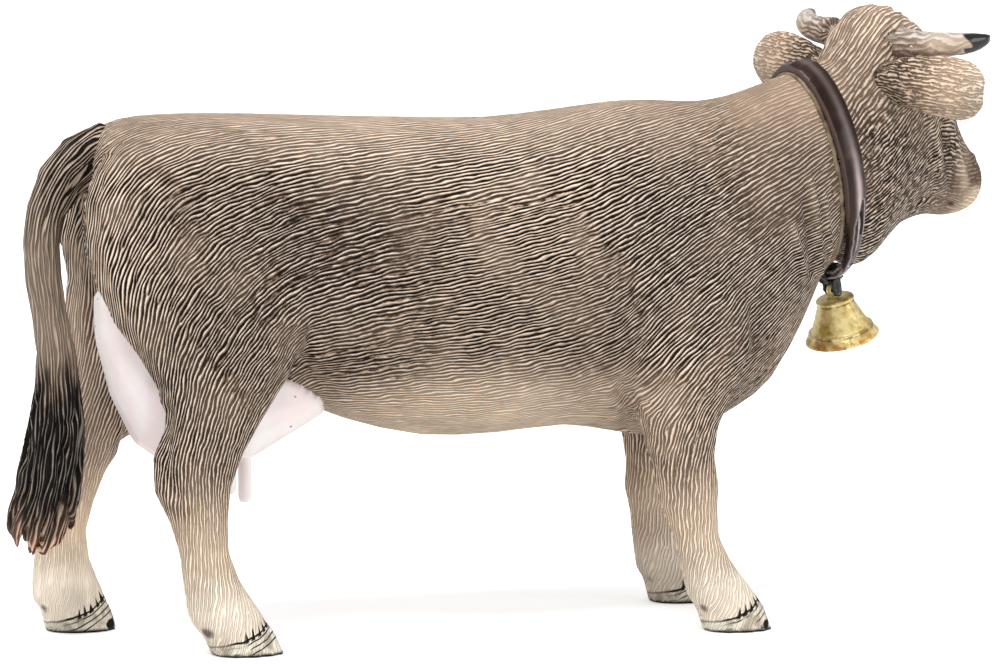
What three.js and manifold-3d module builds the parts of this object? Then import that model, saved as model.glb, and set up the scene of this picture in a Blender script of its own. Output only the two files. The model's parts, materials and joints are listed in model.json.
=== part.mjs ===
// A standing toy cow with a bell, about 1:20, moulded in separate pieces and glued together.
// Millimetres, +X to the front of the cow, +Y to its left, +Z up, hooves on z = 0.

import * as THREE from "three";
import { mergeVertices } from "three/addons/utils/BufferGeometryUtils.js";
import Module from "manifold-3d";

const wasm = await Module();
wasm.setup();

// Driving sizes of the animal
const WITHERS_HEIGHT = 72;
const RUMP_END = -57;
const TRUNK_LENGTH = 104;
const BARREL_WIDTH = 35;
const HEAD_LENGTH = 32;
const HEAD_WIDTH = 15.8;
const HEAD_TURN = THREE.MathUtils.degToRad(32);
const HEAD_ROLL = THREE.MathUtils.degToRad(5.5);
const TURN_START_SHARE = 0.455;
const TURN_END_SHARE = 0.31;
const ROLL_AXIS_SHARE = 0.9;
const HOOF_SPREAD = 26;

// Driving sizes of the moulding
const WALL = 3;
const SEAM_GAP = 0.3;
const SEAT_GAP = 0.3;
const OVERRUN = 8;

// Hind legs: how far the thigh stands out behind the rump, and how far each hoof is set back
const HIND_LEG_SHARE = 0.9445;
const THIGH_DEPTH = 31;
const THIGH_OVERHANG = 3;
const HIND_STEP_BACK = 17;
const HIND_SWING_HEIGHT = 46;
const LEG_WIDTH = 14;
const STRIDE_BOW_SHARE = 0.6;

// Forelegs: how far the shoulder's rear lies behind the seam, and how far the left leg stands
// forward at its top and on the ground
const FORELEG_SHARE = 0.75;
const SHOULDER_DEPTH = 23;
const SHOULDER_SETBACK = 35.4;
const FORE_LEAN = 3.8;
const FORE_STEP = 1;
const FORE_SWING_HEIGHT = 20;

// Hooves
const HOOF_CLEFT_WIDTH = 0.7;
const HOOF_CLEFT_DEPTH = 3.4;
const HOOF_CLEFT_HEIGHT = 3.6;
const DEWCLAW_RADIUS = 1.5;
const DEWCLAW_HEIGHT = 4.5;
const dewclawShares = { deep: 0.8, wide: 0.9, tall: 1.25, back: 0.1, apart: 1.15 };

// Horns and ears
const HORN_LENGTH = 15.5;
const HORN_RADIUS = 1.95;
const EAR_LENGTH = 14.8;
const EAR_WIDTH = 8.8;
const EAR_THICKNESS = 2.2;
const EAR_CUP_SHARE = 0.5;
const HORN_SLANT_SHARE = 0.35;
const TENON_RADIUS = 0.9;
const TENON_LENGTH = 2.6;

// Tail
const TAIL_LENGTH = 57;
const TAIL_THICKNESS = 5;
const TUFT_WIDTH = 9;
const TAIL_TENON_RADIUS = 1.5;
const TAIL_TENON_LENGTH = 6;
const TAIL_TENON_START_SHARE = 1.3;

// Udder
const UDDER_LENGTH = 34;
const UDDER_WIDTH = 17;
const UDDER_SETBACK = 1;
const UDDER_DROP = 12.5;
const TEAT_LENGTH = 4.6;
const TEAT_RADIUS = 1;
const UDDER_PEG_RADIUS = 2.2;
const UDDER_PEG_LENGTH = 3;
const UDDER_PEG_SHARE = 0.72;

// Collar, hanger and bell
const STRAP_WIDTH = 3.7;
const STRAP_NECK_WIDTH = 2;
const STRAP_THICKNESS = 0.9;
const STRAP_TAPER_ANGLE = THREE.MathUtils.degToRad(60);
const STRAP_DROP_ANGLE = THREE.MathUtils.degToRad(60);
const SLOT_WIDTH = 1.15;
const SLOT_DEPTH = 0.45;
const SLOT_START = THREE.MathUtils.degToRad(12);
const SLOT_END = THREE.MathUtils.degToRad(52);
const SLOT_OFFSET_SHARE = 0.12;
const SLOT_END_SHARE = 0.5;
const HANGER_WALL = 0.42;
const HANGER_LENGTH = 1.4;
const HANGER_PLAY = 0.28;
const PIN_RADIUS = 0.36;
const BELL_HEIGHT = 6.3;
const BELL_RADIUS = 5.3;
const BELL_WALL = 0.75;
const CROWN_WALL = 0.36;
const CROWN_WIDTH = 1;
const BELL_TILT = THREE.MathUtils.degToRad(3);

// Locating pins between the two halves of the body
const BOSS_RADIUS = 3;
const PIN_BOSS_RADIUS = 1.4;
const PIN_BOSS_LENGTH = 2.4;

// Places and distances in the row of slices, counted in rows
const rowShares = { cavityStart: 1.6, spigotReach: 1.2, spigotOverlap: 0.5, collar: 1, collarReach: 3, step: 0.05 };

// The powers of the ovals that limbs are lofted from: 2 is an ellipse, and more is squarer
const roundnessShares = { leg: 2.2, tail: 2.1, udder: 2.2 };

// How finely the forms are cut into facets
const SLICE_POINTS = 28;
const LIMB_POINTS = 12;
const UDDER_POINTS = 18;
const TEAT_STEPS = 3;
const TEAT_SEGMENTS = 8;
const SLICES_BETWEEN = 2;
const CAVITY_SLICES = 12;
const SPIGOT_SLICES = 3;
const CUT_STEPS = 16;
const COLLAR_SAMPLES = 60;
const STRAP_STEPS = 46;
const TURN_STEPS = 60;
const SLOT_STEPS = 6;
const BELL_SEGMENTS = 24;
const HANGER_CURVE_STEPS = 3;
const MERGE_DISTANCE = 1e-4;

// Slices from the rump to the withers. Along and heights are shares of the trunk's
// length and the withers' height, half-widths of half the barrel's width.
// widest is the height of the widest point, and upper and lower are the powers of the oval's halves.
const trunkSliceShares = [
  { topAt: 0.0, top: 0.91, lowAt: 0.0, low: 0.735, width: 0.27, widest: 0.5, upper: 2, lower: 2 },
  { topAt: 0.013, top: 0.958, lowAt: 0.016, low: 0.65, width: 0.52, widest: 0.55, upper: 2.1, lower: 2 },
  { topAt: 0.046, top: 0.98, lowAt: 0.05, low: 0.59, width: 0.69, widest: 0.6, upper: 2.3, lower: 2 },
  { topAt: 0.105, top: 0.987, lowAt: 0.105, low: 0.54, width: 0.79, widest: 0.62, upper: 2.5, lower: 2 },
  { topAt: 0.182, top: 0.986, lowAt: 0.182, low: 0.495, width: 0.85, widest: 0.63, upper: 2.75, lower: 2 },
  { topAt: 0.26, top: 0.983, lowAt: 0.26, low: 0.452, width: 0.845, widest: 0.6, upper: 2.7, lower: 2.1 },
  { topAt: 0.336, top: 0.979, lowAt: 0.336, low: 0.407, width: 0.88, widest: 0.5, upper: 2.35, lower: 2.2 },
  { topAt: 0.432, top: 0.975, lowAt: 0.432, low: 0.373, width: 0.97, widest: 0.44, upper: 2.1, lower: 2.25 },
  { topAt: 0.53, top: 0.973, lowAt: 0.53, low: 0.373, width: 1.0, widest: 0.43, upper: 2.0, lower: 2.3 },
  { topAt: 0.625, top: 0.986, lowAt: 0.625, low: 0.382, width: 0.96, widest: 0.44, upper: 1.95, lower: 2.25 },
  { topAt: 0.702, top: 0.999, lowAt: 0.702, low: 0.365, width: 0.87, widest: 0.45, upper: 1.9, lower: 2.2 },
  { topAt: 0.76, top: 1.0, lowAt: 0.76, low: 0.352, width: 0.79, widest: 0.46, upper: 1.9, lower: 2.1 },
  { topAt: 0.815, top: 0.996, lowAt: 0.817, low: 0.365, width: 0.71, widest: 0.48, upper: 1.95, lower: 2 },
];

// Slices of the neck behind the seam, and from the seam to the muzzle. Along is measured from the
// seam and is a share of the head's length, heights are shares of the withers' height, half-widths
// of half the head's width.
const neckSliceShares = [
  { topAt: -0.471, top: 1.003, lowAt: -0.416, low: 0.4, width: 1.418, widest: 0.5, upper: 2, lower: 1.9 },
  { topAt: -0.371, top: 1.015, lowAt: -0.253, low: 0.45, width: 1.274, widest: 0.52, upper: 2, lower: 1.85 },
  { topAt: -0.286, top: 1.027, lowAt: -0.123, low: 0.54, width: 1.152, widest: 0.52, upper: 2, lower: 1.85 },
  { topAt: -0.228, top: 1.036, lowAt: -0.033, low: 0.615, width: 0.975, widest: 0.5, upper: 2, lower: 1.9 },
  { topAt: -0.172, top: 1.043, lowAt: 0.039, low: 0.661, width: 0.904, widest: 0.5, upper: 2, lower: 2 },
];
const headSliceShares = [
  { topAt: -0.135, top: 1.048, lowAt: 0.09, low: 0.683, width: 0.88, widest: 0.5, upper: 2, lower: 2 },
  { topAt: -0.07, top: 1.055, lowAt: 0.137, low: 0.686, width: 0.875, widest: 0.5, upper: 2, lower: 2 },
  { topAt: 0.04, top: 1.07, lowAt: 0.192, low: 0.67, width: 0.89, widest: 0.5, upper: 2, lower: 2 },
  { topAt: 0.11, top: 1.112, lowAt: 0.265, low: 0.661, width: 0.955, widest: 0.5, upper: 2, lower: 2 },
  { topAt: 0.195, top: 1.155, lowAt: 0.34, low: 0.669, width: 0.98, widest: 0.52, upper: 2.1, lower: 2 },
  { topAt: 0.295, top: 1.174, lowAt: 0.43, low: 0.696, width: 1.0, widest: 0.55, upper: 2.3, lower: 1.9 },
  { topAt: 0.42, top: 1.162, lowAt: 0.54, low: 0.726, width: 0.985, widest: 0.57, upper: 2.5, lower: 1.85 },
  { topAt: 0.575, top: 1.115, lowAt: 0.635, low: 0.74, width: 0.93, widest: 0.6, upper: 2.6, lower: 1.85 },
  { topAt: 0.705, top: 1.047, lowAt: 0.74, low: 0.747, width: 0.79, widest: 0.58, upper: 2.5, lower: 1.9 },
  { topAt: 0.82, top: 0.975, lowAt: 0.83, low: 0.748, width: 0.66, widest: 0.52, upper: 2.4, lower: 2 },
  { topAt: 0.93, top: 0.915, lowAt: 0.915, low: 0.744, width: 0.63, widest: 0.5, upper: 2.4, lower: 2.2 },
  { topAt: 1.03, top: 0.874, lowAt: 1.005, low: 0.751, width: 0.63, widest: 0.5, upper: 2.3, lower: 2.3 },
  { topAt: 1.08, top: 0.843, lowAt: 1.065, low: 0.772, width: 0.47, widest: 0.5, upper: 2.2, lower: 2.2 },
];

// Leg slices from the top down. height is a share of the leg's height, rear and front of the thigh's
// or shoulder's depth, out of half the hoof spread, and width of half the leg's width.
const hindLegShares = [
  { height: 1.0, rear: 0.177, front: 0.58, out: 0.45, width: 0.5 },
  { height: 0.941, rear: 0.065, front: 0.774, out: 0.56, width: 0.78 },
  { height: 0.882, rear: 0.02, front: 0.887, out: 0.62, width: 0.93 },
  { height: 0.801, rear: 0.02, front: 0.968, out: 0.68, width: 1.0 },
  { height: 0.721, rear: 0.061, front: 1.013, out: 0.73, width: 1.02 },
  { height: 0.647, rear: 0.135, front: 1.013, out: 0.77, width: 0.98 },
  { height: 0.581, rear: 0.239, front: 0.955, out: 0.8, width: 0.9 },
  { height: 0.519, rear: 0.316, front: 0.858, out: 0.83, width: 0.8 },
  { height: 0.456, rear: 0.326, front: 0.765, out: 0.86, width: 0.7 },
  { height: 0.39, rear: 0.281, front: 0.677, out: 0.89, width: 0.6 },
  { height: 0.325, rear: 0.284, front: 0.619, out: 0.93, width: 0.5 },
  { height: 0.263, rear: 0.348, front: 0.603, out: 0.96, width: 0.43 },
  { height: 0.203, rear: 0.387, front: 0.603, out: 0.985, width: 0.39 },
  { height: 0.146, rear: 0.4, front: 0.648, out: 1.0, width: 0.42 },
  { height: 0.101, rear: 0.413, front: 0.71, out: 1.0, width: 0.48 },
  { height: 0.069, rear: 0.432, front: 0.758, out: 1.0, width: 0.53 },
  { height: 0.041, rear: 0.477, front: 0.803, out: 1.0, width: 0.56 },
  { height: 0.0, rear: 0.526, front: 0.845, out: 1.0, width: 0.55 },
];
const forelegShares = [
  { height: 1.0, rear: 0.24, front: 0.7, out: 0.48, width: 0.5 },
  { height: 0.92, rear: 0.08, front: 0.84, out: 0.57, width: 0.74 },
  { height: 0.815, rear: 0.0, front: 0.94, out: 0.64, width: 0.83 },
  { height: 0.705, rear: 0.055, front: 0.94, out: 0.7, width: 0.84 },
  { height: 0.611, rear: 0.135, front: 0.82, out: 0.77, width: 0.75 },
  { height: 0.519, rear: 0.204, front: 0.704, out: 0.83, width: 0.63 },
  { height: 0.444, rear: 0.27, front: 0.67, out: 0.88, width: 0.54 },
  { height: 0.37, rear: 0.304, front: 0.691, out: 0.92, width: 0.5 },
  { height: 0.309, rear: 0.339, front: 0.678, out: 0.95, width: 0.44 },
  { height: 0.241, rear: 0.404, front: 0.683, out: 0.98, width: 0.38 },
  { height: 0.185, rear: 0.435, front: 0.743, out: 1.0, width: 0.4 },
  { height: 0.13, rear: 0.465, front: 0.835, out: 1.0, width: 0.47 },
  { height: 0.093, rear: 0.487, front: 0.904, out: 1.0, width: 0.52 },
  { height: 0.06, rear: 0.54, front: 0.96, out: 1.0, width: 0.56 },
  { height: 0.0, rear: 0.59, front: 1.017, out: 1.0, width: 0.55 },
];

// The tail's middle line, from the root: back from the rump and down, in shares of its length, with
// its width and thickness in shares of the tuft's width and the tail's thickness.
const tailShares = [
  { back: -0.02, down: -0.01, width: 0.75, thick: 1.1 },
  { back: 0.056, down: 0.0, width: 0.8, thick: 1.1 },
  { back: 0.121, down: 0.03, width: 0.82, thick: 1.05 },
  { back: 0.17, down: 0.081, width: 0.74, thick: 1.0 },
  { back: 0.202, down: 0.142, width: 0.6, thick: 0.95 },
  { back: 0.214, down: 0.221, width: 0.545, thick: 0.92 },
  { back: 0.209, down: 0.309, width: 0.54, thick: 0.9 },
  { back: 0.195, down: 0.388, width: 0.53, thick: 0.9 },
  { back: 0.182, down: 0.475, width: 0.59, thick: 0.92 },
  { back: 0.179, down: 0.554, width: 0.68, thick: 1.0 },
  { back: 0.181, down: 0.633, width: 0.79, thick: 1.08 },
  { back: 0.19, down: 0.712, width: 0.9, thick: 1.14 },
  { back: 0.204, down: 0.791, width: 0.97, thick: 1.16 },
  { back: 0.221, down: 0.861, width: 1.0, thick: 1.08 },
  { back: 0.235, down: 0.914, width: 0.86, thick: 0.9 },
  { back: 0.244, down: 0.944, width: 0.5, thick: 0.6 },
];
const tailRootShare = { along: 0.055, height: 0.925 };

// The udder's slices from the rear, in shares of its length and of half its width. top and floor
// are heights above its lowest point, in shares of how far that hangs below the belly.
const udderShares = [
  { along: 0.0, top: 2.1, floor: 1.34, width: 0.3 },
  { along: 0.06, top: 2.1, floor: 0.76, width: 0.6 },
  { along: 0.147, top: 1.97, floor: 0.28, width: 0.85 },
  { along: 0.235, top: 1.83, floor: 0.11, width: 0.96 },
  { along: 0.4, top: 1.62, floor: 0.0, width: 1.0 },
  { along: 0.57, top: 1.48, floor: 0.03, width: 1.0 },
  { along: 0.71, top: 1.34, floor: 0.25, width: 0.92 },
  { along: 0.86, top: 1.16, floor: 0.48, width: 0.74 },
  { along: 0.97, top: 1.07, floor: 0.65, width: 0.45 },
];
const teatAlongShares = [0.3, 0.56];
const TEAT_OUT_SHARE = 0.5;

// The horn's middle line, forward, out and up in shares of its length, with its thickness.
const hornShares = [
  { forward: 0.0, out: 0.0, up: 0.0, thick: 1.12 },
  { forward: 0.03, out: 0.2, up: 0.0, thick: 0.98 },
  { forward: 0.12, out: 0.39, up: 0.02, thick: 0.9 },
  { forward: 0.28, out: 0.54, up: 0.04, thick: 0.8 },
  { forward: 0.42, out: 0.61, up: 0.065, thick: 0.58 },
  { forward: 0.5, out: 0.64, up: 0.09, thick: 0.3 },
];
const earShares = [
  { forward: 0.0, out: 0.0, up: 0.0, width: 0.62, thick: 1.25 },
  { forward: 0.05, out: 0.18, up: 0.0, width: 0.82, thick: 1.1 },
  { forward: 0.1, out: 0.35, up: -0.01, width: 0.94, thick: 0.95 },
  { forward: 0.15, out: 0.53, up: -0.01, width: 1.0, thick: 0.82 },
  { forward: 0.19, out: 0.7, up: -0.02, width: 0.98, thick: 0.7 },
  { forward: 0.22, out: 0.84, up: -0.02, width: 0.8, thick: 0.58 },
  { forward: 0.24, out: 0.93, up: -0.02, width: 0.42, thick: 0.42 },
];

// Where the horn, ear and eye stand on the head: how far along its row of slices, and the angle
// down from the top of the slice.
const hornStand = { share: 0.38, angle: THREE.MathUtils.degToRad(44) };
const earStand = { share: 0.29, angle: THREE.MathUtils.degToRad(54) };
const eyeStand = { share: 0.56, angle: THREE.MathUtils.degToRad(74) };
const EYE_RADIUS = 1.35;
const EYE_SUNK_SHARE = 0.6;

// The bell's outline from the axis at the crown to the lip, in shares of its radius and height.
const bellOutlineShares = [
  [0.3, 1.0],
  [0.47, 0.985],
  [0.52, 0.955],
  [0.52, 0.905],
  [0.49, 0.885],
  [0.525, 0.8],
  [0.62, 0.6],
  [0.72, 0.4],
  [0.8, 0.27],
  [0.865, 0.25],
  [0.885, 0.21],
  [0.925, 0.15],
  [0.98, 0.08],
  [1.0, 0.035],
  [0.985, 0.0],
];

const X = new THREE.Vector3(1, 0, 0);
const Y = new THREE.Vector3(0, 1, 0);
const Z = new THREE.Vector3(0, 0, 1);

// Solids and surfaces

function solid(geometry) {
  const bare = geometry.clone();
  bare.deleteAttribute("normal");
  bare.deleteAttribute("uv");
  const merged = mergeVertices(bare, MERGE_DISTANCE);
  const triVerts = new Uint32Array(merged.index.array);
  return new wasm.Manifold(
    new wasm.Mesh({ numProp: 3, vertProperties: merged.attributes.position.array, triVerts }),
  );
}

// The main body of a solid that a cut has left in pieces
function largest(body) {
  return body.decompose().sort((a, b) => b.volume() - a.volume())[0];
}

function geometryOf(body) {
  const mesh = body.getMesh();
  const geometry = new THREE.BufferGeometry();
  geometry.setAttribute("position", new THREE.BufferAttribute(new Float32Array(mesh.vertProperties), 3));
  geometry.setIndex(new THREE.BufferAttribute(new Uint32Array(mesh.triVerts), 1));
  const faceted = geometry.toNonIndexed();
  faceted.computeVertexNormals();
  return faceted;
}

function signedVolume(points, faces) {
  let sum = 0;
  for (const [a, b, c] of faces) sum += points[a].dot(new THREE.Vector3().crossVectors(points[b], points[c]));
  return sum;
}

function surface(points, faces) {
  const outward = signedVolume(points, faces) > 0;
  const geometry = new THREE.BufferGeometry().setFromPoints(points);
  geometry.setIndex(faces.flatMap(([a, b, c]) => (outward ? [a, b, c] : [a, c, b])));
  return geometry;
}

// Joins rings of equally many points into one closed surface, with a point at each end
function loft(rings, startTip, endTip) {
  const count = rings[0].length;
  const points = [...rings.flat(), startTip, endTip];
  const first = points.length - 2;
  const last = points.length - 1;
  const faces = [];
  for (let k = 0; k < count; k++) {
    const next = (k + 1) % count;
    faces.push([first, next, k]);
    faces.push([last, (rings.length - 1) * count + k, (rings.length - 1) * count + next]);
    for (let r = 0; r + 1 < rings.length; r++) {
      const low = r * count;
      const high = low + count;
      faces.push([low + k, low + next, high + next], [low + k, high + next, high + k]);
    }
  }
  return surface(points, faces);
}

// Joins rings of equally many points end to end, as a band that closes on itself
function closedLoft(rings) {
  const count = rings[0].length;
  const points = rings.flat();
  const faces = [];
  for (let r = 0; r < rings.length; r++) {
    const low = r * count;
    const high = ((r + 1) % rings.length) * count;
    for (let k = 0; k < count; k++) {
      const next = (k + 1) % count;
      faces.push([low + k, low + next, high + next], [low + k, high + next, high + k]);
    }
  }
  return surface(points, faces);
}

function middleOf(ring) {
  const sum = new THREE.Vector3();
  for (const point of ring) sum.add(point);
  return sum.divideScalar(ring.length);
}

// A row of a table between its rows, on a smooth curve through them.
function rowBetween(rows, place) {
  const index = Math.min(Math.floor(place), rows.length - 2);
  const t = place - index;
  const at = (i) => rows[THREE.MathUtils.clamp(i, 0, rows.length - 1)];
  const made = {};
  for (const key of Object.keys(rows[0])) {
    const [a, b, c, d] = [at(index - 1)[key], at(index)[key], at(index + 1)[key], at(index + 2)[key]];
    const [inward, outward] = [(c - a) / 2, (d - b) / 2];
    made[key] =
      (2 * t ** 3 - 3 * t ** 2 + 1) * b +
      (t ** 3 - 2 * t ** 2 + t) * inward +
      (3 * t ** 2 - 2 * t ** 3) * c +
      (t ** 3 - t ** 2) * outward;
  }
  return made;
}

function placesOf(rows, between) {
  const places = [];
  for (let k = 0; k <= (rows.length - 1) * between; k++) places.push(k / between);
  return places;
}

function oval(angle, power) {
  const bulge = (value) => Math.sign(value) * Math.abs(value) ** (2 / power);
  return [bulge(Math.sin(angle)), bulge(Math.cos(angle))];
}

function cylinderAlong(direction, radius, from, to) {
  const axis = new THREE.Vector3().subVectors(to, from);
  const geometry = new THREE.CylinderGeometry(radius, radius, axis.length(), LIMB_POINTS);
  geometry.applyQuaternion(new THREE.Quaternion().setFromUnitVectors(Y, direction));
  return geometry.translate(...from.clone().addScaledVector(axis, 0.5));
}

// The neck's turn: forms of the neck and head are modelled straight and then bent to the left.
const SEAM_ALONG = RUMP_END + TRUNK_LENGTH;
const TURN_START = SEAM_ALONG - TURN_START_SHARE * HEAD_LENGTH;
const TURN_END = SEAM_ALONG + TURN_END_SHARE * HEAD_LENGTH;
const ROLL_AXIS_HEIGHT = ROLL_AXIS_SHARE * WITHERS_HEIGHT;

function turnShare(along) {
  const t = THREE.MathUtils.clamp((along - TURN_START) / (TURN_END - TURN_START), 0, 1);
  return t * t * (3 - 2 * t);
}

function neckLine(along) {
  const place = new THREE.Vector2(Math.min(along, TURN_START), 0);
  const step = (along - TURN_START) / TURN_STEPS;
  for (let k = 0; along > TURN_START && k < TURN_STEPS; k++) {
    const yaw = HEAD_TURN * turnShare(TURN_START + (k + 0.5) * step);
    place.x += step * Math.cos(yaw);
    place.y += step * Math.sin(yaw);
  }
  return place;
}

function bendFrame(along) {
  const place = neckLine(along);
  const yaw = HEAD_TURN * turnShare(along);
  const roll = HEAD_ROLL * turnShare(along);
  const turn = new THREE.Matrix4().makeRotationZ(yaw).multiply(new THREE.Matrix4().makeRotationX(roll));
  return turn.setPosition(place.x, place.y, ROLL_AXIS_HEIGHT);
}

function bent(point) {
  const flat = new THREE.Vector3(0, point.y, point.z - ROLL_AXIS_HEIGHT);
  return flat.applyMatrix4(bendFrame(point.x));
}

// The trunk, neck and head as one row of slices, so that the surface runs on over the seam
const bodySlices = [
  ...trunkSliceShares.map((row) => sliceSizes(row, RUMP_END, TRUNK_LENGTH, BARREL_WIDTH)),
  ...neckSliceShares.map((row) => sliceSizes(row, SEAM_ALONG, HEAD_LENGTH, HEAD_WIDTH)),
  ...headSliceShares.map((row) => sliceSizes(row, SEAM_ALONG, HEAD_LENGTH, HEAD_WIDTH)),
];
const HEAD_PLACE = trunkSliceShares.length + neckSliceShares.length;
const SEAM_PLACE = HEAD_PLACE - 0.5;
const COLLAR_PLACE = SEAM_PLACE + rowShares.collar;
const MUZZLE_PLACE = bodySlices.length - 1;

function sliceSizes(row, start, length, width) {
  return {
    topX: start + row.topAt * length,
    topZ: row.top * WITHERS_HEIGHT,
    bottomX: start + row.lowAt * length,
    bottomZ: row.low * WITHERS_HEIGHT,
    half: (row.width * width) / 2,
    widest: row.widest,
    upper: row.upper,
    lower: row.lower,
  };
}

// A point of the slice at a place in the row, at an angle from its top, grown by a distance.
function slicePoint(place, angle, grow) {
  const row = rowBetween(bodySlices, place);
  const top = new THREE.Vector3(row.topX, 0, row.topZ);
  const bottom = new THREE.Vector3(row.bottomX, 0, row.bottomZ);
  const widest = new THREE.Vector3().lerpVectors(bottom, top, row.widest);
  const upper = Math.cos(angle) > 0;
  const reach = new THREE.Vector3().subVectors(upper ? top : bottom, widest);
  const [out, up] = oval(angle, upper ? row.upper : row.lower);
  reach.setLength(reach.length() + grow).multiplyScalar(Math.abs(up));
  return widest.add(reach).addScaledVector(Y, -out * (row.half + grow));
}

function sliceRing(place, grow) {
  const ring = [];
  for (let k = 0; k < SLICE_POINTS; k++) {
    ring.push(bent(slicePoint(place, (2 * Math.PI * k) / SLICE_POINTS, grow)));
  }
  return ring;
}

function bodyLoft(places, grow) {
  const rings = places.map((place) => sliceRing(place, grow));
  const [start, end] = [middleOf(rings[0]), middleOf(rings[rings.length - 1])];
  return solid(loft(rings, start, end));
}

function placesFrom(first, last, count) {
  return Array.from({ length: count + 1 }, (_, k) => first + ((last - first) * k) / count);
}

// The gap at the seam, as a step along the row of slices
const seamRows = [rowBetween(bodySlices, SEAM_PLACE - 0.5), rowBetween(bodySlices, SEAM_PLACE + 0.5)];
const SEAM_STEP = SEAM_GAP / (seamRows[1].topX - seamRows[0].topX);

function trunkForm(grow) {
  const places = placesOf([...trunkSliceShares, ...neckSliceShares], SLICES_BETWEEN);
  return bodyLoft([...places, SEAM_PLACE], grow);
}

function headForm(grow) {
  const after = Math.ceil(SEAM_PLACE + SEAM_STEP);
  const places = [SEAM_PLACE + SEAM_STEP];
  for (let k = 0; after + k / SLICES_BETWEEN <= MUZZLE_PLACE; k++) places.push(after + k / SLICES_BETWEEN);
  return bodyLoft(places, grow);
}

// The hollow of the trunk, open at the seam, where the head's spigot enters
function cavityForm() {
  return bodyLoft(placesFrom(rowShares.cavityStart, SEAM_PLACE + rowShares.spigotOverlap, CAVITY_SLICES), -WALL);
}

function spigotForm() {
  const [from, to] = [SEAM_PLACE - rowShares.spigotReach, SEAM_PLACE + rowShares.spigotOverlap];
  const places = placesFrom(from, to, SPIGOT_SLICES);
  return bodyLoft(places, -WALL - SEAT_GAP);
}

// Legs

const hindLeg = {
  shares: hindLegShares,
  height: HIND_LEG_SHARE * WITHERS_HEIGHT,
  rear: RUMP_END - THIGH_OVERHANG,
  depth: THIGH_DEPTH,
  stride: { right: { top: 0, ground: 0 }, left: { top: 0, ground: -HIND_STEP_BACK } },
  swing: HIND_SWING_HEIGHT,
};
const foreleg = {
  shares: forelegShares,
  height: FORELEG_SHARE * WITHERS_HEIGHT,
  rear: SEAM_ALONG - SHOULDER_SETBACK,
  depth: SHOULDER_DEPTH,
  stride: { right: { top: 0, ground: 0 }, left: { top: FORE_LEAN, ground: FORE_STEP } },
  swing: FORE_SWING_HEIGHT,
};

// How far forward a leg is set at a height: its top's step above the swing height, and from there
// down a bow that reaches its hoof's step on the ground
function strideAt(z, leg, side) {
  const stride = side < 0 ? leg.stride.right : leg.stride.left;
  return stride.top + (stride.ground - stride.top) * Math.max(0, 1 - z / leg.swing) ** STRIDE_BOW_SHARE;
}

function legForm(leg, side, grow) {
  const rings = leg.shares.map((row) => {
    const z = row.height * leg.height;
    const half = ((row.front - row.rear) / 2) * leg.depth + grow;
    const middle = leg.rear + ((row.front + row.rear) / 2) * leg.depth + strideAt(z, leg, side);
    const ring = [];
    for (let k = 0; k < LIMB_POINTS; k++) {
      const [out, ahead] = oval((2 * Math.PI * k) / LIMB_POINTS, roundnessShares.leg);
      const y = side * ((row.out * HOOF_SPREAD) / 2 + out * ((row.width * LEG_WIDTH) / 2 + grow));
      ring.push(new THREE.Vector3(middle + ahead * half, y, z));
    }
    return ring;
  });
  return solid(loft(rings, middleOf(rings[0]), middleOf(rings[rings.length - 1])));
}

// A leg with its toe's split and the two dewclaws behind the pastern
function wholeLeg(leg, side) {
  const sole = leg.shares[leg.shares.length - 1];
  const toe = leg.rear + sole.front * leg.depth + strideAt(0, leg, side);
  const heel = leg.rear + sole.rear * leg.depth + strideAt(DEWCLAW_HEIGHT, leg, side);
  const middle = (side * HOOF_SPREAD) / 2;
  const wedge = new THREE.Shape();
  wedge.moveTo(-HOOF_CLEFT_DEPTH, 0);
  wedge.lineTo(HOOF_CLEFT_DEPTH, -HOOF_CLEFT_WIDTH);
  wedge.lineTo(HOOF_CLEFT_DEPTH, HOOF_CLEFT_WIDTH);
  wedge.closePath();
  const cleft = new THREE.ExtrudeGeometry(wedge, { depth: HOOF_CLEFT_HEIGHT + OVERRUN, bevelEnabled: false });
  cleft.translate(toe, middle, -OVERRUN);
  let made = legForm(leg, side, 0).subtract(solid(cleft));
  for (const out of [-1, 1]) {
    const claw = new THREE.SphereGeometry(DEWCLAW_RADIUS, LIMB_POINTS / 2, LIMB_POINTS / 2);
    claw.scale(dewclawShares.deep, dewclawShares.wide, dewclawShares.tall);
    const apart = out * dewclawShares.apart * DEWCLAW_RADIUS;
    claw.translate(heel + dewclawShares.back * DEWCLAW_RADIUS, middle + apart, DEWCLAW_HEIGHT);
    made = made.add(solid(claw));
  }
  return made;
}

// One side of the surface that divides the body along its middle, which follows the neck's turn
function sideCutter(side) {
  const edge = placesFrom(TURN_START - OVERRUN, SEAM_ALONG + OVERRUN, CUT_STEPS);
  const shape = new THREE.Shape();
  const gap = (side * SEAM_GAP) / 2;
  shape.moveTo(RUMP_END - OVERRUN, gap);
  for (const along of edge) {
    const place = neckLine(along);
    shape.lineTo(place.x, place.y + gap);
  }
  const end = neckLine(SEAM_ALONG + OVERRUN);
  shape.lineTo(end.x, side * BARREL_WIDTH);
  shape.lineTo(RUMP_END - OVERRUN, side * BARREL_WIDTH);
  shape.closePath();
  return solid(new THREE.ExtrudeGeometry(shape, { depth: 2 * WITHERS_HEIGHT, bevelEnabled: false }));
}

const bossPlaces = [
  { along: 0.24, height: 0.8 },
  { along: 0.52, height: 0.62 },
  { along: 0.8, height: 0.76 },
];

function bossCylinder(place, radius, fromY, toY) {
  const x = RUMP_END + place.along * TRUNK_LENGTH;
  const z = place.height * WITHERS_HEIGHT;
  return solid(cylinderAlong(Y, radius, new THREE.Vector3(x, fromY, z), new THREE.Vector3(x, toY, z)));
}

const tailRoot = new THREE.Vector3(
  RUMP_END + tailRootShare.along * TRUNK_LENGTH,
  0,
  tailRootShare.height * WITHERS_HEIGHT,
);

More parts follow.
